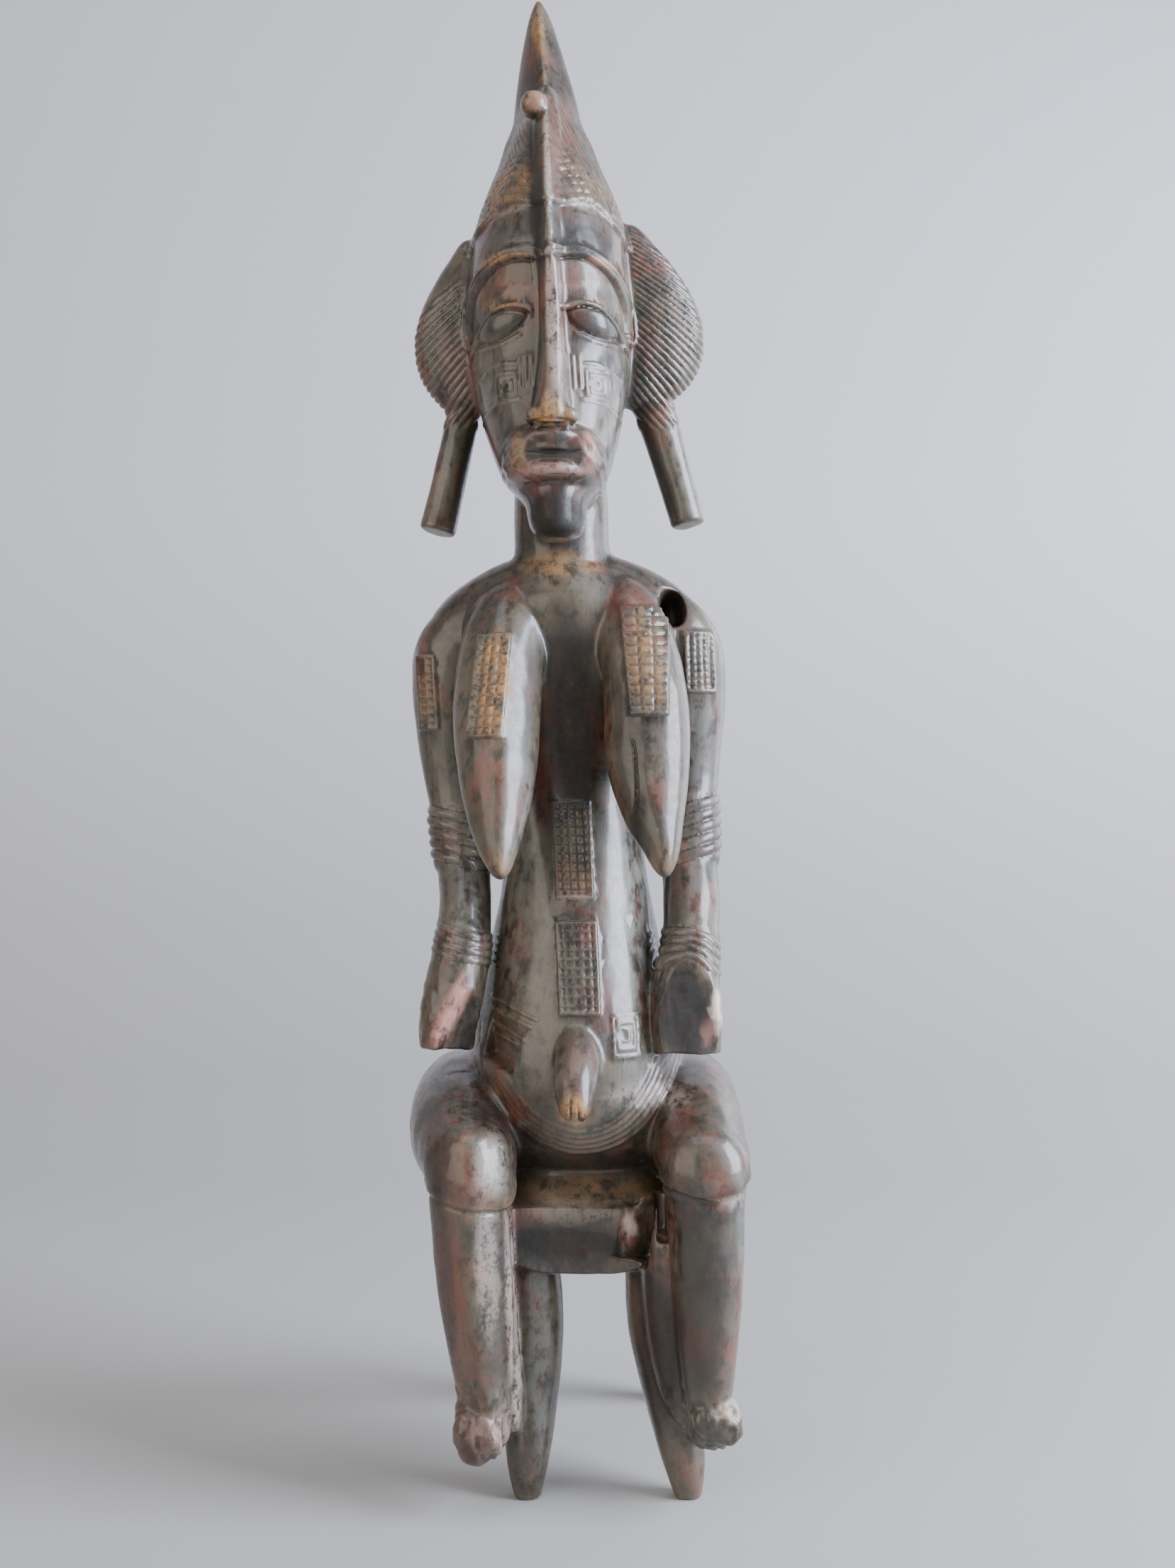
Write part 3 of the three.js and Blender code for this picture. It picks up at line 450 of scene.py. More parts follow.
    def mouth(self) -> list[Shell]:
        """Full lips and the row between them, as short limbs that bend back round the muzzle."""
        shells = []
        for height, thick, half, front in (*self.lips, *self.teeth):
            places = np.linspace(-half, half, 9)
            radius = thick * np.clip(1 - (places / half) ** 2, 0.04, 1) ** 0.4
            y = front + 0.045 * places**2
            rows = np.column_stack([FACE_MIDDLE + places, y, np.full(9, height), radius, radius, radius])
            shells.append(limb(tuple(map(tuple, rows)), level=UP, rings=60, sides=32))
        return shells

    def shells(self) -> list[Shell]:
        """Build every mass of the head and neck."""
        (x, y, z), radii = self.nostril
        wings = [ball((FACE_MIDDLE + side.value * x, y, z), radii, 30, 40) for side in Side]
        solids = [upright(self.neck), upright(self.face), upright(self.crown, 220), self.ridge_shell()]
        return [*solids, ball(*self.knob, 30, 40), limb(self.muzzle, 2.6), *self.mouth(), *wings]


@dataclass(frozen=True)
class Flank:
    """All that the figure has once on each side: arm, breast, leg, braid and half-moon of hair."""

    arm: Rows
    bracelet: tuple[float, float]
    wristlet: tuple[float, float]
    breast: Rows
    thigh: Rows
    shin: Rows
    shin_roundness: float
    foot: Rows
    # middle and radii
    knee: tuple[tuple[float, ...], tuple[float, ...]]
    leg_top: float
    leg_foot: float
    web: Rows
    web_roundness: float
    braid: Rows
    # x, middle height, half height, half depth
    lobe: Rows
    lobe_middle_y: float = 8.0

    def arm_shell(self) -> Shell:
        """Arm with the raised bands that carry its rings.

        Returns:
            The closed arm.
        """
        rings = 420
        places = np.linspace(0, len(self.arm) - 1, rings)
        proud = np.zeros(rings)
        for (low, high), height in ((self.bracelet, 1.3), (self.wristlet, 0.6)):
            proud += height * window(places, low, high, 0.06)
        return limb(self.arm, proud=proud, rings=rings, sides=96)

    def lobe_shell(self) -> Shell:
        """Half-moon of hair: upright ellipses along X, tall and deep at the head and small at the rim."""
        table = np.array(self.lobe)
        order = np.argsort(table[:, 0])
        x = np.linspace(table[:, 0].min(), table[:, 0].max(), 70)
        middle, half, deep = through(table[order], x).T
        turn = np.linspace(0, 2 * np.pi, 120, endpoint=False)[None, :]
        y = self.lobe_middle_y + deep[:, None] * np.cos(turn)
        z = middle[:, None] + half[:, None] * np.sin(turn)
        return closed(np.stack([np.broadcast_to(x[:, None], y.shape), y, z], axis=-1))

    def leg_rows(self) -> tuple[Rows, Rows]:
        """Work out the front and back legs of the stool on this side.

        Returns:
            Rows of the front leg and of the back leg.
        """
        top, foot = self.leg_top, self.leg_foot
        spread = foot - top
        front = (
            (top, -20, 98, 10.5, 13, 12), (top, -20, 66, 11.3, 13, 12),
            (top + 0.45 * spread, -22, 38, 10.5, 12, 11), (top + 0.85 * spread, -28.5, 16, 8.6, 9, 8.5),
            (foot, -28.5, -3, 4.6, 4.6, 4.6),
        )
        back = (
            (top * 1.1, 58, 98, 10, 10, 10), (top * 1.15, 62, 66, 10.5, 10.5, 10.5),
            (top * 1.3, 70, 34, 9.5, 9.5, 9.5), (foot * 1.04, 80, -3, 5.2, 5.2, 5.2),
        )
        return front, back

    def shells(self) -> list[Shell]:
        """Build every mass of this side."""
        front, back = self.leg_rows()
        return [
            self.arm_shell(), limb(self.breast, 1.7, rings=160, sides=110), limb(self.thigh, 2.3),
            limb(self.shin, self.shin_roundness), limb(self.web, self.web_roundness),
            limb(self.foot, 2.6), limb(front, 2.1), limb(back),
            limb(self.braid), self.lobe_shell(), ball(*self.knee),
        ]


LEFT = Flank(
    arm=(
        (-38.5, 5, 343, 13, 15, 17), (-46.6, 5, 330, 16.6, 17, 18), (-50.1, 6, 312, 14.8, 16, 17),
        (-49.8, 7, 290, 13.4, 14, 15), (-48, 6, 267, 12, 12.5, 13), (-46.8, 1, 244, 11, 12, 12.5),
        (-46.4, -8, 229, 10.4, 12, 12), (-47.6, -17, 213, 11, 12, 12), (-51, -23, 198, 11.8, 12, 12),
        (-54, -26, 184, 11.2, 12, 13), (-54.6, -27, 174, 10.8, 12, 13),
    ),
    bracelet=(4.05, 5.0),
    wristlet=(6.75, 7.3),
    breast=(
        (-19, 2, 355, 12, 11, 12), (-23.5, -11, 343, 16, 13, 14), (-27, -22, 326, 17, 13.5, 14),
        (-29, -30, 306, 17.2, 14, 14), (-29.5, -37, 286, 15.8, 13.5, 13.5), (-30, -43, 268, 12.6, 12, 12),
        (-30, -48, 254, 8.4, 9, 9), (-29.6, -52, 245, 4, 5, 5), (-29.4, -53, 242, 1.4, 2, 2),
    ),
    thigh=(
        (-40, 46, 138, 18, 24, 22), (-46, 26, 139, 25, 28, 24), (-48.6, 4, 138.5, 24.6, 28.5, 23.5),
        (-49.6, -16, 137, 22.4, 25, 21), (-48.4, -33, 135, 18.8, 20.5, 16.5),
        (-47, -46, 134, 16, 15.5, 12.6), (-46.6, -56, 133.5, 9.5, 8.5, 8),
    ),
    shin=(
        (-46.6, -46, 149.5, 5, 5, 5), (-46.3, -46, 145.5, 13, 12.4, 13),
        (-46.2, -46.4, 137, 16.4, 15.8, 16), (-46.4, -46.7, 126, 16.8, 16, 16),
        (-47.5, -47, 118, 15, 14.2, 15), (-46.9, -47, 92, 14.6, 13.8, 15),
        (-45.9, -46, 68, 13.1, 13.2, 15), (-45, -44.4, 44, 10.4, 11.4, 12.5),
        (-45.5, -44, 28, 8.4, 9, 10), (-46, -44, 23, 5, 6, 6),
    ),
    shin_roundness=1.6,
    knee=((-47, -37, 134.5), (18.2, 23.5, 17.8)),
    foot=((-48, -44, 40, 7, 7, 7), (-47.5, -52, 33, 8.6, 8, 8), (-46, -59, 28, 7.6, 6.6, 6.5)),
    leg_top=-25.5,
    leg_foot=-31.4,
    web=(
        (-37.4, -40, 116, 6, 9, 14), (-37.2, -40, 80, 5.8, 9.5, 14), (-36.4, -38.5, 55, 5.6, 9, 13),
        (-36.2, -37, 36, 5.2, 8, 10), (-37, -36, 28, 3, 4, 5),
    ),
    web_roundness=1.5,
    braid=(
        (-34, 10, 452, 7, 7, 7), (-37.5, 10, 436, 7, 7, 7), (-42, 9, 418, 6.8, 6.8, 6.8),
        (-47, 7, 398, 7, 7, 7), (-51.7, 5, 380.5, 7.5, 7.5, 7.5),
    ),
    lobe=(
        (-18, 466, 30, 12), (-34, 465, 36, 13.5), (-43, 460, 31, 12.5), (-50, 457.5, 22.5, 10),
        (-55, 456, 13.5, 6.5), (-57.5, 455.5, 5.5, 2.5),
    ),
)

RIGHT = Flank(
    arm=(
        (40, 5, 346, 14, 15, 17), (46.5, 5, 332, 16.5, 17, 18), (48.4, 6, 312, 14.4, 16, 17),
        (46.8, 7, 291, 13.2, 14, 15), (45.6, 6, 272, 12.2, 12.5, 13), (44.8, 1, 247, 11.4, 12, 12.5),
        (44.6, -8, 231, 11.4, 12, 12), (42.9, -17, 214, 11.3, 12, 12), (40.2, -24, 199, 13.2, 13, 12),
        (39.4, -27, 184, 13.8, 14, 14), (39, -27, 173, 13.2, 14, 14),
    ),
    bracelet=(4.05, 5.05),
    wristlet=(6.75, 7.3),
    breast=(
        (20, 2, 356, 12, 11, 12), (24.8, -11, 344, 15, 13, 14), (28, -22, 326, 15.6, 13.5, 14),
        (29, -30, 306, 16.4, 14, 14), (28.2, -37, 286, 16, 13.5, 13.5), (29.3, -43, 267, 12, 12, 12),
        (31.4, -48, 254, 7.4, 9, 9), (32.2, -52, 246, 3.8, 5, 5), (32.4, -53, 243, 1.4, 2, 2),
    ),
    thigh=(
        (36, 46, 138, 18, 24, 22), (39, 26, 139, 21.5, 28, 24), (40.6, 4, 138.5, 20.6, 28.5, 23),
        (41.4, -16, 137, 19.6, 25.5, 20), (42.2, -33, 135, 17.8, 21, 16),
        (42.6, -46, 134.4, 16, 15.5, 11.5), (42.6, -56, 134, 9.5, 8.5, 7),
    ),
    shin=(
        (42.6, -46, 148.5, 5, 5, 5), (42.6, -46, 144.5, 12.4, 11.4, 12.5), (42.7, -46, 136, 16.2, 15, 16),
        (42.8, -46, 126.5, 16.8, 15.4, 16), (43, -46, 121, 14.8, 13.2, 15), (41.9, -46, 92, 13.8, 13.2, 15),
        (40.5, -45, 68, 12.1, 12.8, 15), (39.9, -43.4, 46, 9.9, 11.4, 12.5), (40, -42, 30, 8, 9, 10),
        (40, -42, 24, 5, 6, 6),
    ),
    shin_roundness=2.2,
    knee=((42.6, -37, 134.5), (17.6, 23.5, 17.2)),
    foot=((41, -43, 44, 7, 7, 7), (42.5, -50, 38, 9, 7, 8), (43, -57, 34, 7.8, 6, 6.5)),
    leg_top=22,
    leg_foot=31.5,
    web=(
        (28.5, -34.5, 118, 11, 12, 14), (28.5, -34.5, 80, 11.6, 13, 15), (29.5, -34, 55, 10.4, 12, 13),
        (32, -34, 38, 8, 10, 10), (35, -34, 29, 3, 4, 5),
    ),
    web_roundness=2.0,
    braid=(
        (35, 10, 455, 9, 7.5, 7.5), (38, 10, 438, 8.8, 7.2, 7.2), (42.6, 9, 420, 8, 6.8, 6.8),
        (47.5, 7, 400, 7.4, 7, 7), (51.2, 5, 383.5, 7.2, 7.4, 7.4),
    ),
    lobe=(
        (18, 468, 32, 12), (33.5, 469, 38.5, 13.5), (45, 465.5, 31, 12.5), (52, 463, 24, 10),
        (58, 461.5, 15, 6.5), (61, 461, 6.5, 2.5),
    ),
)


@dataclass
class Seat:
    """Seat of the stool: a thin rim over a body with a rounded underside."""

    rim: Rows = (
        (-7, -37, 110, 34.5, 4, 4), (-6.5, -26, 110.5, 47, 4.2, 4.2), (-5, -8, 111.5, 58, 5, 5),
        (-5, 25, 112, 66.5, 5.5, 5), (-5, 58, 111, 59, 5.5, 5), (-5, 72, 110.5, 48.5, 5.5, 5),
    )
    bowl: Rows = (
        (-7, -36.6, 106, 33, 18, 6), (-6.5, -25, 106.5, 45, 19.5, 6), (-5, -5, 107, 54, 20, 6),
        (-5, 25, 107, 58, 20, 6), (-5, 56, 107, 51, 19, 6), (-5, 70, 107, 43, 17, 6),
    )

    def shells(self) -> list[Shell]:
        """Build the rim and the body under it."""
        return [limb(self.rim, 3.4), limb(self.bowl, 2.7)]


@dataclass
class Losses:
    """What the carving has lost: hands, feet, a knot hole in the shoulder, a corner of the seat."""

    hole: Rows = (
        (41.5, -34, 352, 5.2, 8, 8.5), (42, -12, 349, 5.4, 8.5, 8.5), (42.5, 4, 346, 4.4, 7, 7),
        (42.6, 9, 345, 2, 3, 3),
    )
    # size, middle and turns: both hands, both feet, corner of the seat, gap beside it, ground
    blocks: tuple[tuple[tuple[float, ...], ...], ...] = (
        ((40, 20, 44), (-45.6, -43.5, 186), (0.33, 0, 0.67)),
        ((44, 20, 42), (40, -44.5, 188), (-0.05, 0, 0.1)),
        ((30, 12, 30), (-48, -64, 26), (0.35, 0, 0.1)),
        ((30, 12, 30), (43, -62, 32), (0.25, 0, -0.1)),
        ((20, 12, 26), (17.5, -39, 106), (0.12, 0.2, 0.5)),
        ((4.4, 36, 16), (26, -44, 111), (0, 0.05, 0)),
        ((200, 240, 20), (0, 20, -10), (0, 0, 0)),
    )

    def cutters(self) -> list[Shell]:
        """Build every cutter, the ground under the feet last."""
        return [limb(self.hole, 2.4), *(block(*rough) for rough in self.blocks)]


@dataclass
class Surface:
    """Points of the carving's skin as arrays, with the way out at each."""

    points: Array
    normals: Array

    @property
    def x(self) -> Array:
        """X of every point."""
        return self.points[:, 0]

    @property
    def y(self) -> Array:
        """Y of every point."""
        return self.points[:, 1]

    @property
    def z(self) -> Array:
        """Height of every point."""
        return self.points[:, 2]

    @property
    def front(self) -> Array:
        """One where the skin looks to the front, fading to 0 where it turns away."""
        return smooth_step(-self.normals[:, 1], 0.05, 0.35)

    @property
    def seen(self) -> Array:
        """One where the skin looks to the front or up, which the photo shows."""
        return smooth_step(0.6 * np.maximum(self.normals[:, 2], 0) - self.normals[:, 1], 0.0, 0.3)


@dataclass(frozen=True)
class Panel:
    """Raised scar panel on the front of the carving: a framed grid in a four-sided field."""

    top: tuple[float, float]
    bottom: tuple[float, float]
    half_top: float
    half_bottom: float
    columns: int
    rows: int
    front_of: float
    height: float = 1.0
    border: float = 1.3
    bottom_bar: float = 1.6
    raised_lines: bool = False

    def shares(self, skin: Surface) -> tuple[Array, Array, Array]:
        """Place points in the field.

        Args:
            skin: The carving's skin.

        Returns:
            The share across from -1 to 1, the share down from 0 to 1, and the half width there.
        """
        down = (self.top[1] - skin.z) / (self.top[1] - self.bottom[1])
        middle = self.top[0] + (self.bottom[0] - self.top[0]) * down
        half = self.half_top + (self.half_bottom - self.half_top) * np.clip(down, 0, 1)
        return (skin.x - middle) / half, down, half

    def mask(self, skin: Surface, soft: float = 0.6) -> Array:
        """One on the panel and 0 off it."""
        across, down, half = self.shares(skin)
        length = self.top[1] - self.bottom[1]
        inside = 1 - smooth_step(np.abs(across) * half, half, half + soft)
        return inside * window(down * length, 0, length, soft) * skin.front * (skin.y < self.front_of)

    def relief(self, skin: Surface) -> Array:
        """Height of the framed pad, with either raised cells between grooves or raised crossing lines."""
        across, down, half = self.shares(skin)
        length = self.top[1] - self.bottom[1]
        pitch_x, pitch_z = 2 / self.columns, 1 / self.rows
        to_line_x = np.abs((across + 1) / pitch_x - np.round((across + 1) / pitch_x)) * pitch_x * half
        to_line_z = np.abs(down / pitch_z - np.round(down / pitch_z)) * pitch_z * length
        groove = np.maximum(hump(to_line_x, 0.55), hump(to_line_z, 0.55))
        edge = np.minimum((1 - np.abs(across)) * half, np.minimum(down, 1 - down) * length)
        frame_line = hump(edge - self.border * 0.5, self.border * 0.55)
        bar = hump((1 - down) * length - self.bottom_bar * 0.5, self.bottom_bar * 0.6)
        if self.raised_lines:
            pattern = 0.25 + 0.75 * np.maximum(groove, frame_line)
        else:
            pattern = 1 - 0.9 * groove * (1 - frame_line)
        return self.mask(skin) * (self.height * pattern + 0.3 * frame_line + 0.3 * bar)


@dataclass(frozen=True)
class Rings:
    """Stack of rings round one arm, sloping a little inwards."""

    side: Side
    low: float
    high: float
    slope: float
    count: int
    reach: tuple[float, float]
    deep: float
    arm_x: float = 46.0

    def relief(self, skin: Surface) -> Array:
        """Height of the rings on the outer part of the arm, between the two values of Y."""
        x = self.side.value * skin.x
        level = skin.z - self.slope * (x - self.arm_x)
        rings = np.abs(np.sin(np.pi * self.count * (level - self.low) / (self.high - self.low))) ** 0.55
        place = smooth_step(x, 31.5, 34) * (skin.y > self.reach[0]) * (skin.y < self.reach[1])
        return place * window(level, self.low, self.high, 0.5) * self.deep * (rings - 0.45)


@dataclass(frozen=True)
class Mark:
    """Soft patch on the front of the carving: 1 at its middle, fading to 0 past its half sizes."""

    x: float
    z: float
    half_x: float
    half_z: float
    strength: float = 1.0
    lean: float = 0.0

    def mask(self, skin: Surface) -> Array:
        """Read the patch at every point of the skin that looks to the front."""
        dz = skin.z - self.z
        dx = skin.x - self.x - self.lean * dz
        far = np.sqrt((dx / self.half_x) ** 2 + (dz / self.half_z) ** 2)
        return self.strength * (1 - smooth_step(far, 0.6, 1.25)) * skin.seen


def marks(*rows: tuple[float, ...]) -> tuple[Mark, ...]:
    """Make a mark from each row of x, height, half width, half height, strength and lean."""
    return tuple(Mark(*row) for row in rows)


def face_height(share: float) -> float:
    """Height of a feature that sits at a share of the face, from the chin up."""
    return CHIN_HEIGHT + FACE_HEIGHT * share


def on_face(points: Rows) -> Rows:
    """Turn (x from the middle of the face, share of its height) into (x, height)."""
    return tuple((x, face_height(share)) for x, share in points)


@dataclass
class Relief:
    """Everything cut into the finished masses or standing on them, as heights along the skin's way out."""

    head: Head = field(default_factory=Head)
    brow: Trace = Trace(on_face((
        (4.5, 0.843), (14, 0.852), (20.5, 0.834), (26.5, 0.8), (29.6, 0.765), (31, 0.725), (31.4, 0.67),
    )))
    lid: Trace = Trace(on_face(((7.5, 0.69), (14, 0.703), (20, 0.695), (25.2, 0.665), (29.4, 0.62))))
    under_lid: Trace = Trace(on_face(((11, 0.622), (18, 0.602), (25, 0.6), (29.6, 0.612))))
    face_lines: tuple[Trace, ...] = (
        Trace(on_face(((6.6, 0.55), (6.8, 0.46)))),
        Trace(on_face(((9, 0.55), (9.2, 0.455)))),
        Trace(on_face(((11.4, 0.55), (11.6, 0.46)))),
        Trace(on_face(((13, 0.532), (20, 0.534), (28, 0.508)))),
        Trace(on_face(((12, 0.42), (20, 0.416), (28, 0.39)))),
        Trace(on_face(((12.5, 0.285), (17, 0.25), (20.5, 0.21)))),
        Trace(on_face(((13, 0.235), (16.5, 0.205), (19, 0.175)))),
    )
    # x, share of the face height, half width, half height
    eye: tuple[float, float, float, float] = (18.4, 0.664, 10.2, 6.0)
    eye_slant: float = 0.2
    eye_height: float = 3.6
    # height, half width, half height
    mouth_ring: tuple[float, float, float] = (403.2, 15.4, 11.8)
    # left breast, right breast, upper belly, lower belly, left arm, right arm
    panels: tuple[Panel, ...] = (
        Panel((-28.6, 335.6), (-33.8, 295), 6.2, 6.8, 4, 10, 60, 0.8),
        Panel((30.1, 347), (29.5, 303.6), 9.2, 6.9, 3, 11, 60, 0.75),
        Panel((-1.9, 271), (-1.9, 233), 7.4, 7.2, 5, 11, -15, 0.75),
        Panel((-2, 224), (-2, 189), 7.7, 7.6, 5, 10, -15, 0.8, raised_lines=True),
        Panel((-58, 329.4), (-57.6, 299.5), 4.0, 4.0, 2, 9, 60, 0.5, raised_lines=True),
        Panel((52.4, 338.8), (52, 314.4), 6.2, 6.2, 5, 9, 60, 0.8),
    )
    belt: Trace = Trace((
        (38, 182), (31, 168.5), (25.5, 158.5), (17, 148.8), (7, 142.4), (-4.5, 140.2), (-15, 142.6),
        (-27, 150.5), (-37, 164),
    ), 60)
    belt_half: float = 5.0
    strand_pitch: float = 2.2
    hip_lines: tuple[Trace, ...] = (
        Trace(((-36, 194), (-19, 187))), Trace(((-36, 190), (-21, 184))), Trace(((-36, 184), (-24, 179))),
        Trace(((-36, 180), (-27, 176.5))),
    )
    # x, height, half width, half height: belly, right cheek, left cheek
    spirals: tuple[tuple[float, float, float, float], ...] = (
        (15.3, 180.8, 4.6, 7.4), (FACE_MIDDLE + 18.6, face_height(0.474), 4.4, 5.0),
        (FACE_MIDDLE - 16.4, face_height(0.466), 3.9, 4.8),
    )
    rings: tuple[Rings, ...] = (
        Rings(Side.LEFT, 244.3, 266.4, 0.2, 5, (-22, 34), 1.5),
        Rings(Side.RIGHT, 247.4, 270.6, 0.3, 5, (-22, 33), 1.5),
        Rings(Side.LEFT, 208, 221, 0.25, 4, (-60, -8), 0.8),
    )
    right_wrist: Trace = Trace(((29, 206), (31.2, 209.1), (37.3, 211.4), (44.2, 210.5), (51.1, 204.5)))
    cord_pitch: float = 2.9
    cracks: tuple[Trace, ...] = (
        Trace(((21.8, 297), (23.3, 290), (23, 271), (20, 264))),
        Trace(((-6.4, 163), (-7, 156), (-6.6, 150))), Trace(((-4.2, 160), (-3.8, 153), (-4.4, 149.5))),
    )
    keels: tuple[Trace, ...] = (
        Trace(((-19.5, 350), (-22.3, 334), (-24.6, 315), (-26.4, 295), (-28, 270), (-29.2, 246))),
        Trace(((36, 350), (38.6, 336), (40.6, 310), (39.4, 280), (35.4, 256), (32.6, 244))),
    )
    knee_edges: tuple[Trace, ...] = (
        Trace(((-68, 125), (-56, 121.5), (-46, 119.5), (-36, 118), (-28, 117))),
        Trace(((25, 127.5), (36.8, 124.2), (44.7, 122.2), (50.8, 123.2), (57, 126.8), (63, 131))),
    )
    lobe_focus: tuple[float, float] = (-65, 552)
    lobe_pitch: float = math.radians(0.98)
    lobe_starts: tuple[float, float] = (math.radians(33), math.radians(25))
    lock_pitch: float = 4.2
    bead_pitch: float = 3.4
    comb_pitch: float = 2.6

    def hairline(self, skin: Surface) -> Array:
        """Height of the coiffure's lower edge: it rises over each brow and drops at the back."""
        angle = np.arctan2(skin.y - 3, skin.x)
        front = np.maximum(0, -np.sin(angle))
        back = np.maximum(0, np.sin(angle))
        return 490 + (13 + 2.5 * np.cos(angle * 6)) * front - 22 * back

    def ratio(self, rows: Array, skin: Surface) -> Array:
        """How far points lie from the axis of an upright mass, where 1 is the mass's own skin."""
        x, y, width, ahead, behind, power = rows.T
        dy = skin.y - y
        depth = np.where(dy > 0, behind, ahead)
        return (np.abs((skin.x - x) / width) ** power + np.abs(dy / depth) ** power) ** (1 / power)

    def head_ratio(self, skin: Surface) -> Array:
        """How far points lie from the head's axis."""
        face = through(np.array(self.head.face), np.clip(skin.z, 372, 499))
        crown = through(np.array(self.head.crown), np.clip(skin.z, 486, 600))
        return self.ratio(np.where((skin.z > 490)[:, None], crown, face), skin)

    def on_trunk(self, skin: Surface) -> Array:
        """One on the trunk's own skin, fading to 0 on the arms and thighs that stand off it."""
        rows = through(np.array(Torso.trunk), np.clip(skin.z, 126, 372))
        return 1 - smooth_step(self.ratio(rows, skin), 1.07, 1.15)

    def lobe_mask(self, skin: Surface) -> Array:
        """One on the half-moons of hair beside the head."""
        beside = smooth_step(self.head_ratio(skin), 1.05, 1.12) * smooth_step(np.abs(skin.x), 29, 33)
        tall = window(skin.z, 424, 512, 2)
        return beside * tall * (1 - smooth_step(np.abs(skin.y - 8), 17, 20))

    def face(self, skin: Surface) -> Array:
        """Brows, lids, eyes, cheek marks and the lines round the mouth."""
        x = np.abs(skin.x - FACE_MIDDLE)
        z = skin.z
        level = z - FEATURE_TILT * (skin.x - FACE_MIDDLE)
        turned = smooth_step(-skin.normals[:, 1], -0.15, 0.12)
        on = turned * (skin.y < -4) * window(z, 374, 492, 1) * (1 - self.lobe_mask(skin)) * (x < 36)
        return on * (self.brows(x, level) + self.eyes(x, level) + self.cheeks(x, z) + self.mouth(x, z))

    def brows(self, x: Array, level: Array) -> Array:
        """Bar over each eye with a groove along it, cut off sharply from the hollow under it."""
        to_brow, _ = self.brow.measure(x, level)
        bar = window(to_brow, 0.9, 4.0, 0.6) - 0.6 * hump(to_brow - 2.5, 0.4)
        hollow = 0.7 * window(to_brow, -8, -1, 3) * (x > 5)
        return bar - 1.5 * hump(to_brow, 0.7) - hollow

    def eyes(self, x: Array, level: Array) -> Array:
        """Upper lid, the ball of the eye below it and the fold of the lower lid."""
        to_lid, _ = self.lid.measure(x, level)
        lid = 1.1 * window(to_lid, 0.6, 2.0, 0.6) - 1.2 * hump(to_lid + 0.2, 0.7)
        eye_x, share, half_x, half_z = self.eye
        eye_level = level - face_height(share) + self.eye_slant * (x - eye_x)
        far = np.abs((x - eye_x) / half_x) ** 1.6 + np.abs(eye_level / half_z) ** 2
        eyeball = self.eye_height * np.sqrt(np.clip(1 - far, 0, 1)) * smooth_step(-to_lid, -0.2, 0.6)
        to_under, _ = self.under_lid.measure(x, level)
        return lid + eyeball + 0.7 * hump(to_under, 0.9) * (x > 9)

    def cheeks(self, x: Array, z: Array) -> Array:
        """Raised scar lines beside the nose, across the cheeks and below the mouth."""
        return sum(0.5 * hump(line.measure(x, z)[0], 0.75) for line in self.face_lines)

    def mouth(self, x: Array, z: Array) -> Array:
        """Ring round the lips, the grooves over and under them and the slit between them."""
        ring_z, ring_x, ring_half = self.mouth_ring
        ring = np.hypot(x / ring_x, (z - ring_z) / ring_half)
        height = 0.8 * hump(ring - 1, 0.09) * (z < ring_z + 9)
        height -= 0.7 * window(x, 0, 9, 3) * hump(z - 391.5 - 0.012 * x**2, 1.4)
        height -= 1.2 * window(x, 0, 11, 1.5) * hump(z - 414.2 + 0.014 * x**2, 0.8)
        slit = window(x, 0, 10, 1) * hump(z - face_height(0.245) - 0.004 * x**2, 0.7)
        return height - 0.8 * slit

    def coiffure(self, skin: Surface) -> Array:
        """Step at the hairline, with plaited locks that fade where the crest turns smooth."""
        above = skin.z - self.hairline(skin)
        on = smooth_step(skin.z, 460, 468) * (1 - self.lobe_mask(skin)) * smooth_step(above, -0.7, 0.7)
        angle = np.arctan2(skin.y - 3, skin.x)
        width = np.interp(skin.z, [486, 508, 526, 543], [36, 32, 25, 20])
        along = angle * width
        lock = np.abs(np.sin(np.pi * along / self.lock_pitch)) ** 0.6
        bead_wave = np.abs(np.sin(np.pi * above / self.bead_pitch)) ** 0.6
        fade = 1 - smooth_step(above, 18, 24)
        back = smooth_step(np.sin(angle), -0.1, 0.2)
        combed = np.abs(np.sin(np.pi * along / self.comb_pitch))
        lines = 0.35 * combed * (1 - smooth_step(skin.z, 538, 552))
        loose = 0.6 + 0.4 * value_noise(skin.points, 6, 21)
        plait = 0.85 * fade * loose * (lock * bead_wave - 0.5) + (1 - fade) * lines
        off_ridge = smooth_step(np.abs(skin.x + 1), 3, 6) + back
        return on * (1.5 * (1 - smooth_step(skin.z, 535, 548)) + plait * np.clip(off_ridge, 0, 1))

    def lobes(self, skin: Surface) -> Array:
        """Grooves over each half-moon, which fan out from a far point above the other side."""
        x = np.abs(skin.x) - self.lobe_focus[0]
        angle = np.arctan2(self.lobe_focus[1] - skin.z, x)
        ridges = np.abs(np.sin(np.pi * angle / self.lobe_pitch)) ** 0.6
        first = np.where(skin.x < 0, *self.lobe_starts)
        smooth_top = smooth_step(angle - first, 0, math.radians(4))
        return self.lobe_mask(skin) * smooth_top * (0.95 * ridges - 0.6)

    def arm_rings(self, skin: Surface) -> Array:
        """Rings round the upper arms and cords round the wrists, all sloping a little inwards."""
        rings = sum(stack.relief(skin) for stack in self.rings)
        to_cord, _ = self.right_wrist.measure(skin.x, skin.z)
        cords = np.abs(np.sin(np.pi * (to_cord + 1.4) / self.cord_pitch)) ** 0.6
        on_wrist = (skin.x > 26) * (skin.y < -8) * (skin.y > -46) * window(to_cord, -1.4, 10.2, 0.5)
        return rings + 0.9 * on_wrist * (cords - 0.4)

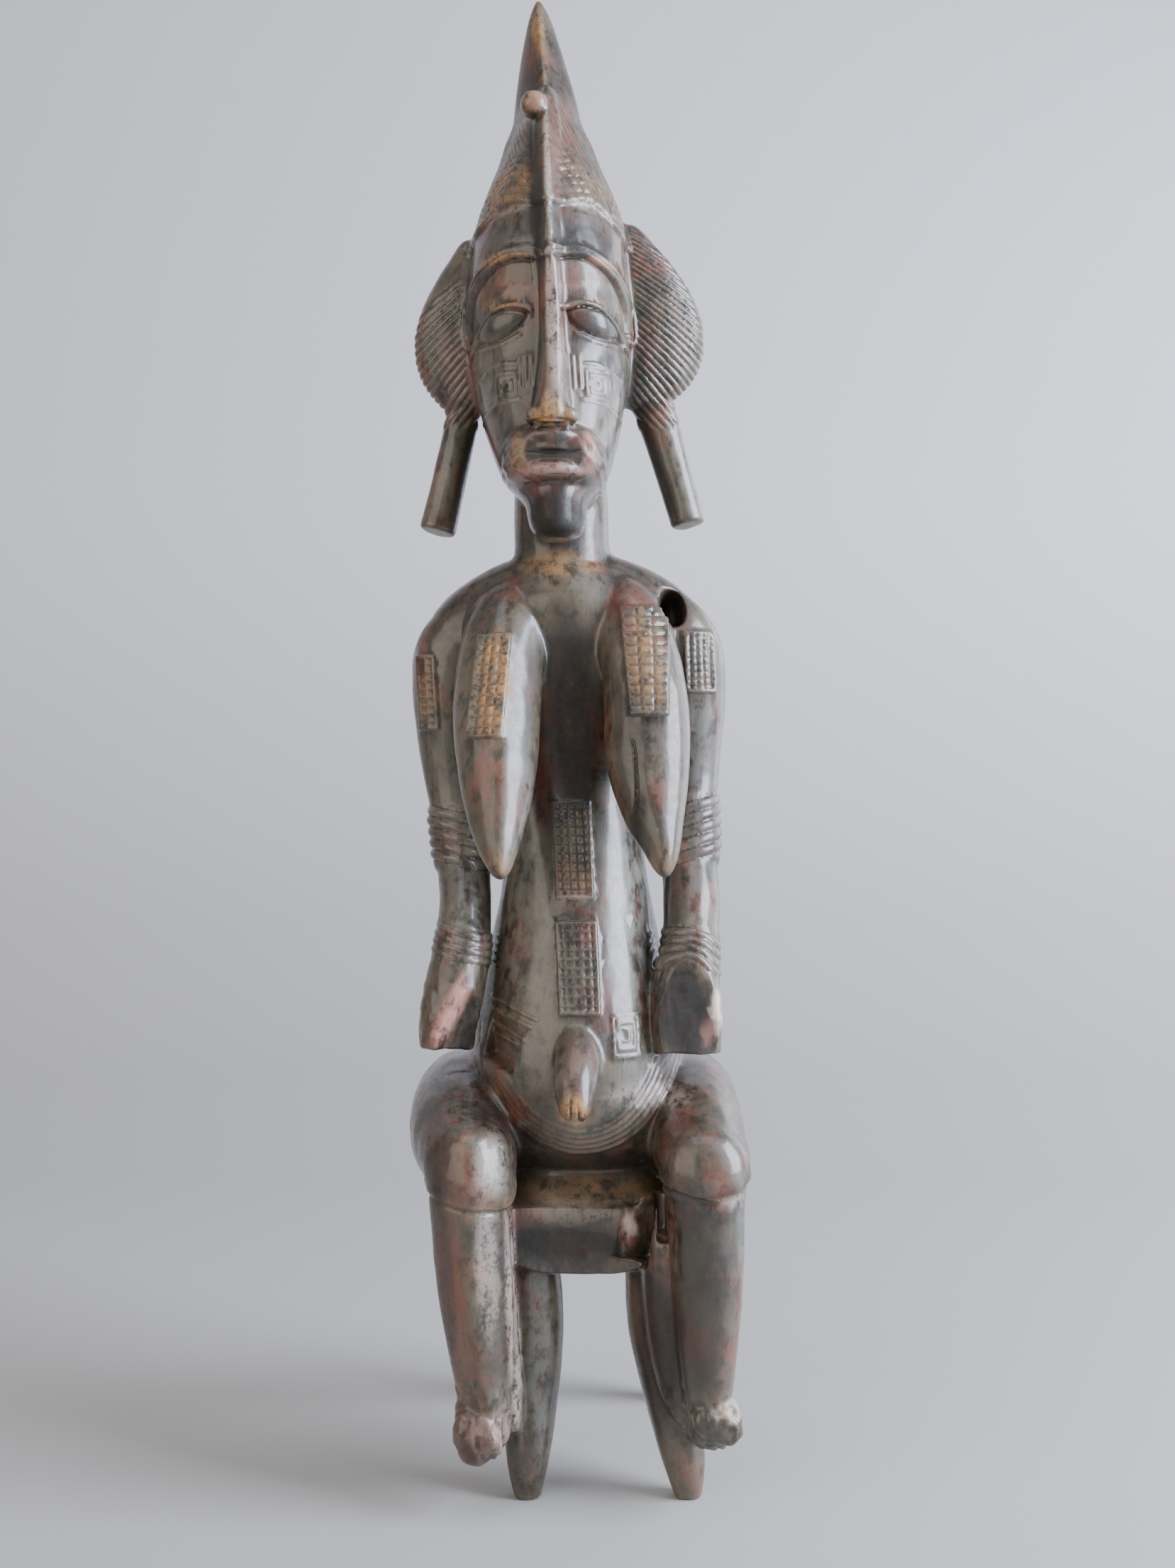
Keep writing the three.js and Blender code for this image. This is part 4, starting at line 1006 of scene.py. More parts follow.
    def breaks(self, skin: Surface) -> Array:
        """Torn wood where hands and feet are lost: lumps, and splinters drawn out along the grain."""
        feet = window(skin.z, 14, 44, 8) * (skin.y < -38)
        left_hand = (skin.x < -42) * (skin.y < -14)
        right_hand = (skin.x > 27) * (skin.y < -27)
        hands = window(skin.z, 166, 198, 6) * (left_hand + 0.5 * right_hand)
        corner = window(skin.z, 92, 114, 3) * window(skin.x, 12, 30, 3) * (skin.y < -28)
        torn = np.clip(feet + 0.5 * hands + 0.5 * corner, 0, 1)
        lumps = 1.1 * value_noise(skin.points, 6, 31) + 0.6 * value_noise(skin.points, 2.8, 32)
        splinters = 0.5 * value_noise(skin.points * np.array([1, 1, 0.2]), 1.6, 33)
        return torn * (lumps + splinters)

    def scar_panels(self, skin: Surface) -> Array:
        """Framed panels on breasts, arms and belly."""
        return sum(panel.relief(skin) for panel in self.panels)

    def belt_strands(self, skin: Surface) -> Array:
        """Belt of fine strands round the lower belly, worn low at its left end."""
        ahead = smooth_step(-skin.normals[:, 1], -0.2, 0.1)
        below = window(skin.z, 130, 200, 4) * (skin.y < 12) * self.on_trunk(skin) * ahead
        off_knees = (1 - smooth_step(-skin.y, 52, 56)) + (np.abs(skin.x + 5) < 14)
        to_belt, share = self.belt.measure(skin.x, skin.z)
        worn = 1 - 0.7 * smooth_step(share, 0.62, 0.75)
        strands = 0.5 + 0.5 * np.cos(2 * np.pi * to_belt / self.strand_pitch)
        band = window(to_belt, -self.belt_half, self.belt_half, 0.8)
        return below * np.clip(off_knees, 0, 1) * worn * band * (0.5 + 0.4 * strands)

    def hip_scars(self, skin: Surface) -> Array:
        """Slanting scar lines over the left hip."""
        lines = sum(hump(line.measure(skin.x, skin.z)[0], 0.7) for line in self.hip_lines)
        return 0.6 * lines * self.on_trunk(skin) * smooth_step(-skin.y, 8, 14)

    def square_spirals(self, skin: Surface) -> Array:
        """Square spirals on the belly and the cheeks."""
        height = np.zeros(len(skin.points))
        for middle_x, middle_z, half_x, half_z in self.spirals:
            ring = np.maximum(np.abs(skin.x - middle_x) / half_x, np.abs(skin.z - middle_z) / half_z)
            opened = (skin.x > middle_x) | (np.abs(skin.z - middle_z) > 0.25 * half_z) | (ring > 0.8)
            turns = np.abs(np.sin(np.pi * 2.2 * ring)) ** 1.5 * (ring < 1.12) * opened
            height += 0.45 * turns * skin.front * (skin.y < -15)
        return height

    def breast_keels(self, skin: Surface) -> Array:
        """Ridge line down each breast, between a facet to the left and one to the right."""
        height = np.zeros(len(skin.points))
        for keel in self.keels:
            distance, share = keel.measure(skin.x, skin.z)
            taper = np.sin(np.pi * np.clip(share, 0.04, 0.96)) ** 0.5
            rise = np.clip(1 - np.abs(distance) / 9, 0, 1) * taper
            height += 1.3 * rise * (skin.y < -8) * smooth_step(-skin.normals[:, 1], -0.3, 0.2)
        return height

    def knee_ledges(self, skin: Surface) -> Array:
        """Low ledge where each knee ends over the shin."""
        height = np.zeros(len(skin.points))
        for edge in self.knee_edges:
            above, _ = edge.measure(skin.x, skin.z)
            ledge = smooth_step(above, -0.9, 0.9) * (1 - smooth_step(above, 7, 17))
            on_knee = smooth_step(-skin.y, 34, 40) * (np.abs(skin.x + 2) > 22) * (np.abs(above) < 18)
            height += 0.8 * (ledge - 0.5 * hump(above + 1.2, 0.9)) * on_knee
        return height

    def drying_cracks(self, skin: Surface) -> Array:
        """Thin cracks in a breast and in the tip of the navel."""
        height = np.zeros(len(skin.points))
        for line in self.cracks:
            distance, share = line.measure(skin.x, skin.z)
            taper = np.sin(np.pi * np.clip(share, 0.05, 0.95))
            height -= 1.3 * hump(distance, 0.5) * taper * skin.front
        return height

    def hand_of_the_tool(self, skin: Surface) -> Array:
        """Low facets left by the adze, and a fine drag along the grain."""
        stretched = skin.points * np.array([1, 1, 0.55])
        facets = 0.20 * value_noise(stretched, 7, 3) + 0.10 * value_noise(stretched, 3.4, 5)
        return facets * (1 - 0.7 * smooth_step(skin.z, 545, 560))

    def total(self, skin: Surface) -> Array:
        """Add up all relief."""
        parts = (
            self.face, self.coiffure, self.lobes, self.arm_rings, self.scar_panels, self.belt_strands,
            self.hip_scars, self.square_spirals, self.breast_keels, self.knee_ledges, self.drying_cracks,
            self.breaks, self.hand_of_the_tool,
        )
        return sum(part(skin) for part in parts)


@dataclass
class Carver:
    """Makes the one mesh: masses are merged, losses cut out, joints softened and relief laid on."""

    voxel: float = 0.8
    fine_voxel: float = 0.62
    soft_passes: int = 26
    base_softness: float = 0.24
    least_softness: float = 0.04
    relaxation: float = 0.8
    triangles: int = 196000

    def mesh_of(self, shells: list[Shell]) -> bpy.types.Mesh:
        """Put shells into one mesh.

        Args:
            shells: Closed masses, which may overlap.

        Returns:
            A mesh with all of them.
        """
        starts = np.cumsum([0, *(len(shell.points) for shell in shells)])
        points = np.concatenate([shell.points for shell in shells])
        faces = np.concatenate([shell.triangles + start for shell, start in zip(shells, starts)])
        mesh = bpy.data.meshes.new("shells")
        mesh.vertices.add(len(points))
        mesh.vertices.foreach_set("co", points.astype(np.float32).ravel())
        mesh.loops.add(faces.size)
        mesh.loops.foreach_set("vertex_index", faces.astype(np.int32).ravel())
        mesh.polygons.add(len(faces))
        mesh.polygons.foreach_set("loop_start", np.arange(0, faces.size, 3, dtype=np.int32))
        mesh.update(calc_edges=True)
        mesh.validate()
        return mesh

    def modified(self, mesh: bpy.types.Mesh, kind: str, **settings: object) -> bpy.types.Mesh:
        """Run one modifier over a mesh and keep the outcome.

        Args:
            mesh: The mesh, which is removed.
            kind: The modifier's type.
            **settings: Its settings.

        Returns:
            The new mesh.
        """
        holder = bpy.data.objects.new("holder", mesh)
        bpy.context.scene.collection.objects.link(holder)
        modifier = holder.modifiers.new(kind, kind)
        for name, value in settings.items():
            setattr(modifier, name, value)
        graph = bpy.context.evaluated_depsgraph_get()
        outcome = bpy.data.meshes.new_from_object(holder.evaluated_get(graph))
        bpy.data.objects.remove(holder)
        bpy.data.meshes.remove(mesh)
        return outcome

    def cut(self, mesh: bpy.types.Mesh, cutters: list[Shell]) -> bpy.types.Mesh:
        """Take cutters out of a mesh one after another."""
        for shell in cutters:
            tool = bpy.data.objects.new("cutter", self.mesh_of([shell]))
            bpy.context.scene.collection.objects.link(tool)
            mesh = self.modified(mesh, "BOOLEAN", object=tool, operation="DIFFERENCE", solver="MANIFOLD")
            bpy.data.objects.remove(tool)
        return mesh

    def points_of(self, mesh: bpy.types.Mesh) -> Array:
        """Read a mesh's points."""
        flat = np.empty(len(mesh.vertices) * 3, dtype=np.float32)
        mesh.vertices.foreach_get("co", flat)
        return flat.reshape(-1, 3).astype(np.float64)

    def surface_of(self, mesh: bpy.types.Mesh) -> Surface:
        """Read a mesh's points and the way out at each."""
        flat = np.empty(len(mesh.vertices) * 3, dtype=np.float32)
        mesh.vertex_normals.foreach_get("vector", flat)
        return Surface(self.points_of(mesh), flat.reshape(-1, 3).astype(np.float64))

    def neighbour_means(self, mesh: bpy.types.Mesh, values: Array) -> Array:
        """Average values over the points next to each point."""
        pairs = self.edges_of(mesh)
        count = len(mesh.vertices)
        degree = np.maximum(np.bincount(pairs.ravel(), minlength=count), 1)
        first, second = pairs.T
        sums = [
            np.bincount(first, column[second], count) + np.bincount(second, column[first], count)
            for column in values.reshape(count, -1).T
        ]
        return (np.stack(sums, axis=-1) / degree[:, None]).reshape(values.shape)

    def edges_of(self, mesh: bpy.types.Mesh) -> Array:
        """Read a mesh's edges as pairs of point numbers."""
        flat = np.empty(len(mesh.edges) * 2, dtype=np.int32)
        mesh.edges.foreach_get("vertices", flat)
        return flat.reshape(-1, 2)

    def softness(self, points: Array) -> Array:
        """How far joints are blended: most at hips and shoulders, least on the rings, crest and lips."""
        x, y, z = points.T
        soft = np.full(len(points), self.base_softness)
        # hips, shoulders, sides of the forehead, knees
        soft += 0.6 * window(z, 124, 215, 14) * smooth_step(y, -58, -30)
        soft += 0.5 * window(z, 330, 372, 10) * smooth_step(y, -40, -15)
        soft += 0.25 * window(z, 424, 490, 10) * (1 - smooth_step(np.abs(x + 2), 30, 34))
        soft += 0.6 * window(z, 134, 172, 8) * (np.abs(x + 2) > 22) * (y < -8)
        # crest, lips, ridge
        soft -= 0.3 * window(z, 500, 600, 6)
        soft -= 0.32 * window(z, 385, 425, 4) * (1 - smooth_step(y, -44, -36))
        soft *= 1 - 0.75 * window(z, 405, 560, 4) * (1 - smooth_step(np.abs(x), 4, 7)) * (y < -12)
        stubs = window(z, 160, 206, 3) * (np.abs(x) > 24) * (y < -12)
        seat = window(z, 84, 116, 2) * (y < -28)
        return np.clip(soft * (1 - 0.85 * np.clip(stubs + seat, 0, 1)), self.least_softness, 1)

    def carve(self, masses: list[Shell], losses: list[Shell], relief: Relief) -> bpy.types.Mesh:
        """Make the carving's mesh in the carver's frame.

        Args:
            masses: Overlapping closed masses.
            losses: Cutters for what is broken off.
            relief: Heights along the way out.

        Returns:
            A triangle mesh cut down to about the set number of triangles.
        """
        mesh = self.modified(self.mesh_of(masses), "REMESH", mode="VOXEL", voxel_size=self.voxel)
        log.info("merged masses: %d points", len(mesh.vertices))
        mesh = self.cut(mesh, losses)
        log.info("cut losses: %d points", len(mesh.vertices))
        mesh = self.modified(mesh, "REMESH", mode="VOXEL", voxel_size=self.fine_voxel)
        points = self.points_of(mesh)
        softness = self.softness(points)[:, None]
        for _ in range(self.soft_passes):
            points += (self.neighbour_means(mesh, points) - points) * softness * self.relaxation
        mesh.vertices.foreach_set("co", points.astype(np.float32).ravel())
        mesh.update()
        log.info("softened: %d points", len(mesh.vertices))
        skin = self.surface_of(mesh)
        raised = skin.points + skin.normals * relief.total(skin)[:, None]
        mesh.vertices.foreach_set("co", raised.astype(np.float32).ravel())
        mesh.update()
        faces = len(mesh.polygons) * 2
        ratio = min(1.0, self.triangles / faces)
        mesh = self.modified(mesh, "DECIMATE", ratio=ratio, use_collapse_triangulate=True)
        self.drop_crumbs(mesh)
        log.info("decimated to %d faces", len(mesh.polygons))
        return mesh

    def drop_crumbs(self, mesh: bpy.types.Mesh) -> None:
        """Take out slivers that the cutters left loose, so that one closed skin remains."""
        model = bmesh.new()
        model.from_mesh(mesh)
        seen = set()
        parts = []
        for start in model.verts:
            if start in seen:
                continue
            seen.add(start)
            part = [start]
            for point in part:
                others = [edge.other_vert(point) for edge in point.link_edges]
                fresh = [other for other in others if other not in seen]
                seen.update(fresh)
                part.extend(fresh)
            parts.append(part)
        parts.sort(key=len)
        crumbs = [point for part in parts[:-1] for point in part]
        bmesh.ops.delete(model, geom=crumbs, context="VERTS")
        model.to_mesh(mesh)
        model.free()

    def placed(self, mesh: bpy.types.Mesh) -> bpy.types.Mesh:
        """Lean the mesh, bring it over the origin in metres and hold it inside the solid's box."""
        points = self.points_of(mesh)
        points[:, 0] += TO_MIDDLE[0] - LEAN * points[:, 2]
        points[:, 1] += TO_MIDDLE[1]
        low, high = (np.array(corner) for corner in CAD_BOX)
        points = np.clip(points * MM, low, high)
        mesh.vertices.foreach_set("co", points.astype(np.float32).ravel())
        mesh.update()
        return mesh


def linear(hex_colour: str) -> tuple[float, float, float, float]:
    """Turn an sRGB hex colour such as "#8a6a4c" into linear RGBA."""
    channels = (int(hex_colour[i:i + 2], 16) / 255 for i in (1, 3, 5))
    values = [c / 12.92 if c <= 0.04045 else ((c + 0.055) / 1.055) ** 2.4 for c in channels]
    return (values[0], values[1], values[2], 1.0)


@dataclass
class Wear:
    """Where the dark surface is rubbed, broken, reddened or dirty, and where sheen, highlights and shade
    are painted on, written as point attributes.
    """

    # rubbed through to tan wood: crest, nose tip, brows, breast and belly panels, navel; the wide mark over
    # the seat top is painted light that lightens the seat top between the knees
    tan: tuple[Mark, ...] = marks(
        (-1, 588, 3, 13, 0.75), (0.6, 572, 2.2, 16, 0.35), (-2.2, 416, 9, 3.6, 1.0),
        (-2, 420, 4, 5, 0.9), (-15, 512, 10, 9, 0.4), (16, 511, 9, 9, 0.2),
        (-29, 316, 8, 21, 0.85, 0.1), (30, 326, 8, 22, 0.5), (-2, 240, 7, 8, 0.25),
        (-5.5, 155, 5.5, 8, 1.0), (-2, 365, 17, 5, 0.6), (-20, 481, 12, 2.4, 0.8),
        (-29, 248, 5, 5, 0.4), (32, 249, 5, 5, 0.3), (-19, 463, 10, 1.6, 0.8),
        # (-5, 119) is painted light on the seat top, not wear
        (-16, 403, 3, 10, 0.5), (-5, 119, 32, 5, 0.35), (22, 464, 9, 2, 0.5),
        (-58, 315, 4, 14, 0.4), (-28, 187, 8, 8, 0.1), (-3.4, 546, 5, 6, 0.4),
        (54, 188, 3, 12, 0.6),
    )
    # fresh breaks and rubbed lips, which show pink wood
    pink: tuple[Mark, ...] = marks(
        (-3.4, 546, 5, 6, 0.35), (-51.5, 191, 4.4, 15, 1.0, 0.51), (13, 105, 4, 8, 0.7),
        (-45, 34, 9, 8, 0.25), (-2.2, 396.6, 13, 2.4, 0.5), (12, 404, 3, 9, 0.6),
        (22, 480, 9, 1.6, 0.6), (48, 182, 4, 5, 0.4),
    )
    # where the coat is thin and the wood shows red
    red: tuple[Mark, ...] = marks(
        (-31, 277, 8, 16, 0.9), (24, 486, 7, 14, 0.7), (-55, 86, 6, 36, 0.9), (44, 62, 7, 16, 0.7),
        (-56, 126, 9, 6, 0.8), (-2.2, 408, 14, 4, 0.8), (25, 104, 6, 14, 0.9),
        (38, 290, 8, 20, 0.4), (20, 70, 8, 34, 0.2), (-3.4, 545, 6, 7, 0.8), (4, 136, 16, 6, 0.5),
        (34, 150, 14, 14, 0.3), (-48, 52, 7, 10, 0.8), (-50, 180, 20, 20, 0.3),
        (-2, 386, 11, 7, 1.0), (-19, 471, 11, 6, 1.0), (15, 474, 10, 5, 0.5), (-3, 170, 7, 14, 0.5),
        (46, 455, 10, 22, 0.4),
    )
    # small bright chips
    chips: tuple[Mark, ...] = marks(
        (51.5, 190, 2.6, 8, 0.8), (47, 42, 5, 4, 0.45), (-5.6, 151, 3, 2.5, 0.3),
        (-12.1, 106.6, 1, 1, 0.9), (0.7, 105.4, 1, 1, 0.9), (13.4, 107, 2.6, 4.6, 0.9, -0.3),
    )
    # edges worn pale by handling, and painted highlights on the crest ridge, knees, shins, seat rim and
    # lower lip
    wear_and_highlight: tuple[Mark, ...] = marks(
        (0.4, 450, 3, 40, 0.75), (0.6, 520, 1.3, 30, 0.9), (-38, 135, 6, 12, 0.6),
        (-32.8, 72, 2.2, 46, 1.0), (-41, 96, 4.5, 26, 0.5), (-38, 34, 5, 10, 0.5),
        (54, 122, 8, 2, 0.7), (-5, 112, 26, 3, 0.3), (22, 157, 16, 5, 0.6, -0.6),
        (-2, 233, 7, 1.6, 0.6), (-2, 396, 13, 1.6, 0.6), (17, 502, 12, 2, 0.6),
        (-15, 501, 9, 2, 0.5),
    )
    # grey film of dust and old oil on the sides turned away, and a painted grey sheen that lightens the
    # arms, cheeks, forehead, chin, belly, lobes and braids, strongest on the side of the window
    dust_and_sheen: tuple[Mark, ...] = marks(
        (-51, 296, 13, 42, 0.3), (-46, 232, 11, 24, 0.5), (54, 296, 9, 42, 0.6),
        (47, 232, 11, 22, 0.3), (-24, 430, 10, 16, 0.5), (21, 424, 10, 24, 0.8),
        (-16, 488, 13, 9, 0.4), (-21, 225, 13, 42, 0.5), (21, 222, 12, 46, 0.9),
        (-20, 172, 14, 12, 0.4), (-46, 455, 14, 30, 0.35), (50, 450, 10, 26, 0.5),
        (14, 376, 4, 10, 0.5), (-24, 60, 6, 44, 0.6), (-18, 268, 3, 24, 0.5),
        (-54, 158, 12, 16, 0.3), (56, 108, 3, 26, 0.6), (-49, 400, 4, 26, 0.4, 0.25),
        (52, 400, 4, 26, 0.6, -0.25),
    )
    # painted shade, dark and matt: between the breasts, under the chin and the belly, on the seat face,
    # legs and feet, beside the braids, nose and crest, in the mouth and on the breast facets turned from
    # the light; also the dark wood of the eyes and the broken hands
    dark: tuple[Mark, ...] = marks(
        (0.5, 303, 10, 44, 0.9), (-2, 380, 14, 12, 1.0), (14, 488, 13, 9, 0.9),
        (-19, 318, 7, 24, 0.6), (22, 285, 6, 34, 0.6), (27, 262, 7, 14, 0.5), (22, 60, 9, 40, 0.8),
        (-17, 489, 11, 8, 0.3), (38.5, 188, 13, 19, 1.0), (38, 84, 10, 42, 0.7),
        (-13, 100, 30, 9, 0.85), (-5, 131, 34, 5, 0.7), (-58, 90, 5, 40, 0.6),
        (-59, 138, 9, 18, 0.6), (-20.4, 455.6, 10, 5.4, 0.6), (16.2, 457.4, 10, 5.4, 0.6),
        (-46.5, 182, 4, 13, 0.8, 0.3), (-39, 404, 3.2, 26, 0.8, 0.25),
        (39.5, 406, 3.2, 26, 0.8, -0.25), (-4.4, 508, 3.4, 40, 0.9), (-46, 32, 9, 10, 0.35),
        (40, 142, 12, 16, 0.4), (-33, 24, 8, 9, 0.5), (-50, 34, 6, 12, 0.5), (38, 30, 6, 14, 0.5),
        (-2, 403, 11, 2.4, 0.8), (-8, 440, 3, 24, 0.4),
    )

    def spread(self, marks: tuple[Mark, ...], skin: Surface) -> Array:
        """Lay marks over one another."""
        return np.clip(sum(mark.mask(skin) for mark in marks), 0, 1)

    def layers(self, skin: Surface, hollow: Array) -> dict[str, Array]:
        """Work out every attribute.

        Args:
            skin: The finished skin in the carver's frame.
            hollow: Positive in hollows and negative on edges.

        Returns:
            Values between 0 and 1 for each attribute's name.
        """
        blotch = 0.5 + 0.5 * value_noise(skin.points, 5, 11)
        broad = 0.5 + 0.5 * value_noise(skin.points, 24, 12)
        edges = np.clip(-hollow * 2.2, 0, 1)
        behind = 1 - skin.front
        # dark holds the painted shade marks; lit is where no shade is painted
        dark = self.spread(self.dark, skin)
        lit = 1 - dark
        values = {
            "tan": self.spread(self.tan, skin) * (0.35 + 0.65 * blotch) + 0.2 * edges * blotch * lit,
            "pink": self.spread(self.pink, skin) * (0.45 + 0.55 * blotch),
            "red": self.spread(self.red, skin) * blotch + 0.3 * smooth_step(blotch, 0.6, 1) * behind,
            "chips": self.spread(self.chips, skin) * smooth_step(blotch, 0.15, 0.4),
            # painted highlights from the marks, and pale edge wear
            "wear_and_highlight": self.spread(self.wear_and_highlight, skin) * (0.5 + 0.5 * blotch) + 0.2 * edges * lit,
            # painted grey sheen from the marks, plus a random grey dust film on the sides turned away
            "dust_and_sheen": self.spread(self.dust_and_sheen, skin) + 0.7 * smooth_step(broad, 0.5, 0.9) * behind,
            # painted shade, with the dark eyes and breaks
            "dark": dark,
            "dirt": hollow * 2.0,
        }
        return {name: np.clip(value, 0, 1) for name, value in values.items()}


Socket = bpy.types.NodeSocket


class Grain:
    """Builder of the one wood material, node by node."""

    def __init__(self, name: str) -> None:
        """Start an empty material.

        Args:
            name: The material's name.
        """
        self.material = bpy.data.materials.new(name)
        self.material.use_nodes = True
        self.tree = self.material.node_tree
        self.tree.nodes.clear()

    def add(self, kind: str, links: dict[str, object] | None = None, **settings: object) -> bpy.types.Node:
        """Add a node, set its properties and sockets and link its inputs.

        Args:
            kind: The node's type.
            links: Input name or number to an output socket or a constant.
            **settings: Properties of the node.

        Returns:
            The node.
        """
        node = self.tree.nodes.new(kind)
        for name, value in settings.items():
            setattr(node, name, value)
        for key, value in (links or {}).items():
            if isinstance(value, Socket):
                self.tree.links.new(value, node.inputs[key])
            else:
                node.inputs[key].default_value = value
        return node

    def attribute(self, name: str) -> Socket:
        """Read a point attribute."""
        return self.add("ShaderNodeAttribute", attribute_name=name).outputs["Fac"]

    def noise(self, place: Socket, scale: float, detail: float, rough: float = 0.6) -> Socket:
        """Noise between 0 and 1 at a place."""
        links = {"Vector": place, "Scale": scale, "Detail": detail, "Roughness": rough}
        return self.add("ShaderNodeTexNoise", links).outputs["Fac"]

    def ramp(self, value: Socket, low: float, high: float, top: float = 1.0) -> Socket:
        """Rise smoothly from 0 at low to a top value at high."""
        links = {"Value": value, "From Min": low, "From Max": high, "To Min": 0.0, "To Max": top}
        return self.add("ShaderNodeMapRange", links, interpolation_type="SMOOTHSTEP").outputs["Result"]

    def math(self, kind: str, a: object, b: object) -> Socket:
        """Combine two values."""
        return self.add("ShaderNodeMath", {0: a, 1: b}, operation=kind).outputs["Value"]

    def shown(self, name: str, share: object) -> Socket:
        """Multiply a point attribute by a share."""
        return self.math("MULTIPLY", self.attribute(name), share)

    def mix(self, share: object, a: object, b: object) -> Socket:
        """Blend two colours by a share."""
        return self.add("ShaderNodeMix", {0: share, 6: a, 7: b}, data_type="RGBA").outputs[2]

    def stretched(self, place: Socket, scale: tuple[float, float, float]) -> Socket:
        """Scale a place, so that what is read there is drawn out along the grain."""
        return self.add("ShaderNodeMapping", {"Vector": place, "Scale": scale}).outputs["Vector"]


@dataclass
class Patina:
    """Colours of old handled hardwood under a dark rubbed-in coat, with painted sheen, highlights and shade
    laid over them.
    """

    coat: str = "#2d261e"
    film: str = "#524c3c"
    # grey of the painted sheen and of the dust film
    dust_and_sheen: str = "#76776f"
    green: str = "#3a4032"
    red_wood: str = "#703c2e"
    tan_wood: str = "#b3834f"
    pink_wood: str = "#c68c7e"
    chip_wood: str = "#e2d0bd"
    # colour of the painted highlights and of pale worn edges
    wear_and_highlight_wood: str = "#b0a095"
    # colour of the painted shade, also used for the dark eyes and breaks
    dark_wood: str = "#181410"
    dirt: str = "#100c0a"

    def material(self) -> bpy.types.Material:
        """Make the wood: a glossy dark coat with zones of hue, rubbed edges, bare breaks, fine grain and
        painted sheen, highlights and shade.

        Returns:
            The finished material.
        """
        # Old handled hardwood: satin brown-black, with grey, green and red zones that shift softly, tan and
        # pale worn edges, and matt pink breaks. Over it lie a painted grey sheen, painted highlights and
        # painted shade, read from point attributes.
        g = Grain("carved dark hardwood with patina and painted light")
        place = g.add("ShaderNodeTexCoord").outputs["Object"]
        mottle = g.noise(g.stretched(place, (1, 1, 0.6)), 210, 5, 0.62)
        zones = g.noise(place, 30, 3, 0.55)
        hues = g.noise(g.stretched(place, (1.3, 1.1, 0.8)), 42, 3, 0.55)
        fibres = g.noise(g.stretched(place, (1, 1, 0.09)), 900, 4, 0.6)
        specks = g.noise(place, 700, 3, 0.7)
        broken = g.math("ADD", mottle, specks)
        blots = g.noise(g.stretched(place, (1.1, 1.2, 0.9)), 330, 3, 0.6)
        colour = g.mix(g.ramp(zones, 0.38, 0.62), linear(self.coat), linear(self.film))
        tan = g.shown("tan", g.ramp(broken, 0.75, 1.1))
        coats = (
            (g.ramp(hues, 0.5, 0.66, 0.6), self.red_wood),
            (g.ramp(blots, 0.52, 0.66, 0.5), self.green),
            (g.ramp(blots, 0.46, 0.34, 0.35), self.red_wood),
            # painted grey sheen, with the dust film on the sides turned away
            (g.shown("dust_and_sheen", g.ramp(mottle, 0.34, 0.6, 0.75)), self.dust_and_sheen),
            (g.shown("red", g.ramp(mottle, 0.36, 0.54, 0.9)), self.red_wood),
            # painted shade from the dark marks
            (g.shown("dark", g.ramp(mottle, 0.25, 0.45, 0.9)), self.dark_wood),
            # painted highlights and pale worn edges
            (g.shown("wear_and_highlight", g.ramp(broken, 0.78, 1.05)), self.wear_and_highlight_wood),
            (tan, self.tan_wood),
            (g.shown("pink", g.ramp(mottle, 0.28, 0.5)), self.pink_wood),
            (g.attribute("chips"), self.chip_wood),
            (g.ramp(mottle, 0.5, 0.34, 0.45), self.dirt),
            (g.shown("dirt", 0.9), self.dirt),
            (g.ramp(fibres, 0.52, 0.75, 0.3), self.dirt),
        )
        for share, hue in coats:
            colour = g.mix(share, colour, linear(hue))
        scuffs = g.noise(g.stretched(place, (1, 0.25, 1)), 420, 4, 0.65)
        bare = g.math("MAXIMUM", g.attribute("pink"), g.math("MAXIMUM", g.attribute("chips"), tan))
        scuffed = g.ramp(g.math("ADD", mottle, scuffs), 0.8, 1.2, 0.22)
        worn = g.math("ADD", scuffed, g.math("MULTIPLY", bare, 0.25))
        grain = g.math("ADD", g.math("MULTIPLY", fibres, 0.6), g.math("MULTIPLY", specks, 0.4))
        bump = g.add("ShaderNodeBump", {"Strength": 0.22, "Distance": 0.0006, "Height": grain})
        dull = g.ramp(g.attribute("dark"), 0.55, 1.0, 0.25)
        matt = g.math("MAXIMUM", bare, g.math("MULTIPLY", dull, 3.2))
        polish = g.math("SUBTRACT", 0.65, g.math("MULTIPLY", matt, 0.6))
        links = {
            "Base Color": colour, "Roughness": g.math("ADD", g.math("ADD", worn, dull), 0.36),
            "Normal": bump.outputs["Normal"], "Specular IOR Level": 0.5,
            "Coat Weight": polish, "Coat Roughness": 0.17,
        }
        surface = g.add("ShaderNodeBsdfPrincipled", links)
        g.add("ShaderNodeOutputMaterial", {"Surface": surface.outputs["BSDF"]})
        return g.material


